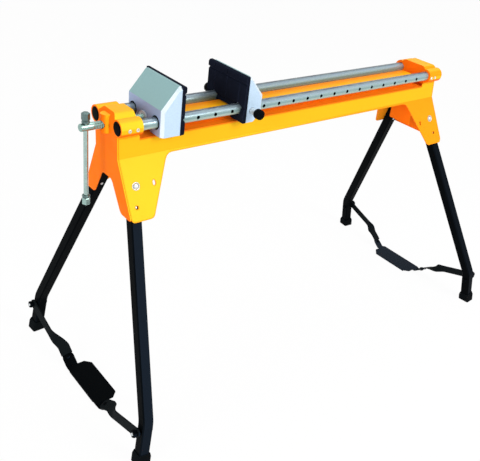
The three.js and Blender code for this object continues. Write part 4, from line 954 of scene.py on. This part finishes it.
def make_camera():
    back = Vector((math.sin(CAMERA_AZIMUTH) * math.cos(CAMERA_ELEVATION),
                   -math.cos(CAMERA_AZIMUTH) * math.cos(CAMERA_ELEVATION),
                   math.sin(CAMERA_ELEVATION)))
    right = Vector((0, 0, 1)).cross(back).normalized()
    upward = back.cross(right)
    turn = Matrix((right, upward, back)).transposed() @ Matrix.Rotation(CAMERA_ROLL, 3, "Z")
    data = bpy.data.cameras.new("camera")
    data.lens = CAMERA_LENS
    data.sensor_width = SENSOR_WIDTH
    data.sensor_fit = "HORIZONTAL"
    camera = bpy.data.objects.new("camera", data)
    camera.matrix_world = Matrix.Translation(CAMERA_PLACE) @ turn.to_4x4()
    bpy.context.scene.collection.objects.link(camera)
    bpy.context.scene.camera = camera


def add_light(name, place, target, size, watts, mirrored=True):
    data = bpy.data.lights.new(name, "AREA")
    data.shape = "DISK"
    data.size = size
    data.energy = watts
    light = bpy.data.objects.new(name, data)
    light.location = place
    light.rotation_euler = (Vector(target) - Vector(place)).to_track_quat("-Z", "Y").to_euler()
    light.visible_glossy = mirrored
    bpy.context.scene.collection.objects.link(light)


def seen_ray(tree):
    """1 for rays that show the backdrop: straight, mirrored or through glass."""
    path = tree.nodes.new("ShaderNodeLightPath")
    total = path.outputs["Is Camera Ray"]
    for name in ("Is Glossy Ray", "Is Transmission Ray"):
        joiner = tree.nodes.new("ShaderNodeMath")
        joiner.operation = "MAXIMUM"
        tree.links.new(total, joiner.inputs[0])
        tree.links.new(path.outputs[name], joiner.inputs[1])
        total = joiner.outputs[0]
    return total


def make_stage():
    """A white floor that keeps a faint shadow, a white surround and soft studio lights."""
    build = bmesh.new()
    bmesh.ops.create_grid(build, x_segments=2, y_segments=2, size=20)
    floor = bpy.data.objects.new("floor", mesh_from(build))
    bpy.context.scene.collection.objects.link(floor)
    material = bpy.data.materials.new("floor")
    material.use_nodes = True
    tree = material.node_tree
    diffuse = tree.nodes["Principled BSDF"]
    diffuse.inputs["Base Color"].default_value = FLOOR
    diffuse.inputs["Roughness"].default_value = 0.9
    diffuse.inputs["Specular IOR Level"].default_value = 0.0
    white = tree.nodes.new("ShaderNodeEmission")
    blend = tree.nodes.new("ShaderNodeMixShader")
    share = tree.nodes.new("ShaderNodeMath")
    share.operation = "MULTIPLY"
    share.inputs[1].default_value = 0.96
    tree.links.new(seen_ray(tree), share.inputs[0])
    tree.links.new(share.outputs[0], blend.inputs[0])
    tree.links.new(diffuse.outputs[0], blend.inputs[1])
    tree.links.new(white.outputs[0], blend.inputs[2])
    tree.links.new(blend.outputs[0], tree.nodes["Material Output"].inputs["Surface"])
    floor.data.materials.append(material)

    world = bpy.data.worlds.new("surround")
    world.use_nodes = True
    bpy.context.scene.world = world
    tree = world.node_tree
    soft = tree.nodes["Background"]
    soft.inputs["Color"].default_value = (1.0, 1.0, 1.0, 1.0)
    soft.inputs["Strength"].default_value = 0.45
    shown = tree.nodes.new("ShaderNodeBackground")
    shown.inputs["Color"].default_value = (1.0, 1.0, 1.0, 1.0)
    blend = tree.nodes.new("ShaderNodeMixShader")
    tree.links.new(seen_ray(tree), blend.inputs[0])
    tree.links.new(soft.outputs[0], blend.inputs[1])
    tree.links.new(shown.outputs[0], blend.inputs[2])
    tree.links.new(blend.outputs[0], tree.nodes["World Output"].inputs["Surface"])

    target = (0, 0, 0.5)
    add_light("key", (0.9, -2.9, 2.4), target, 1.6, 62)
    add_light("fill", (-6.0, -1.7, 2.2), target, 3.6, 200, mirrored=False)
    add_light("top", (0.2, 0.4, 3.2), target, 2.2, 26)


make_camera()
make_stage()
bpy.context.scene.view_settings.view_transform = "Standard"
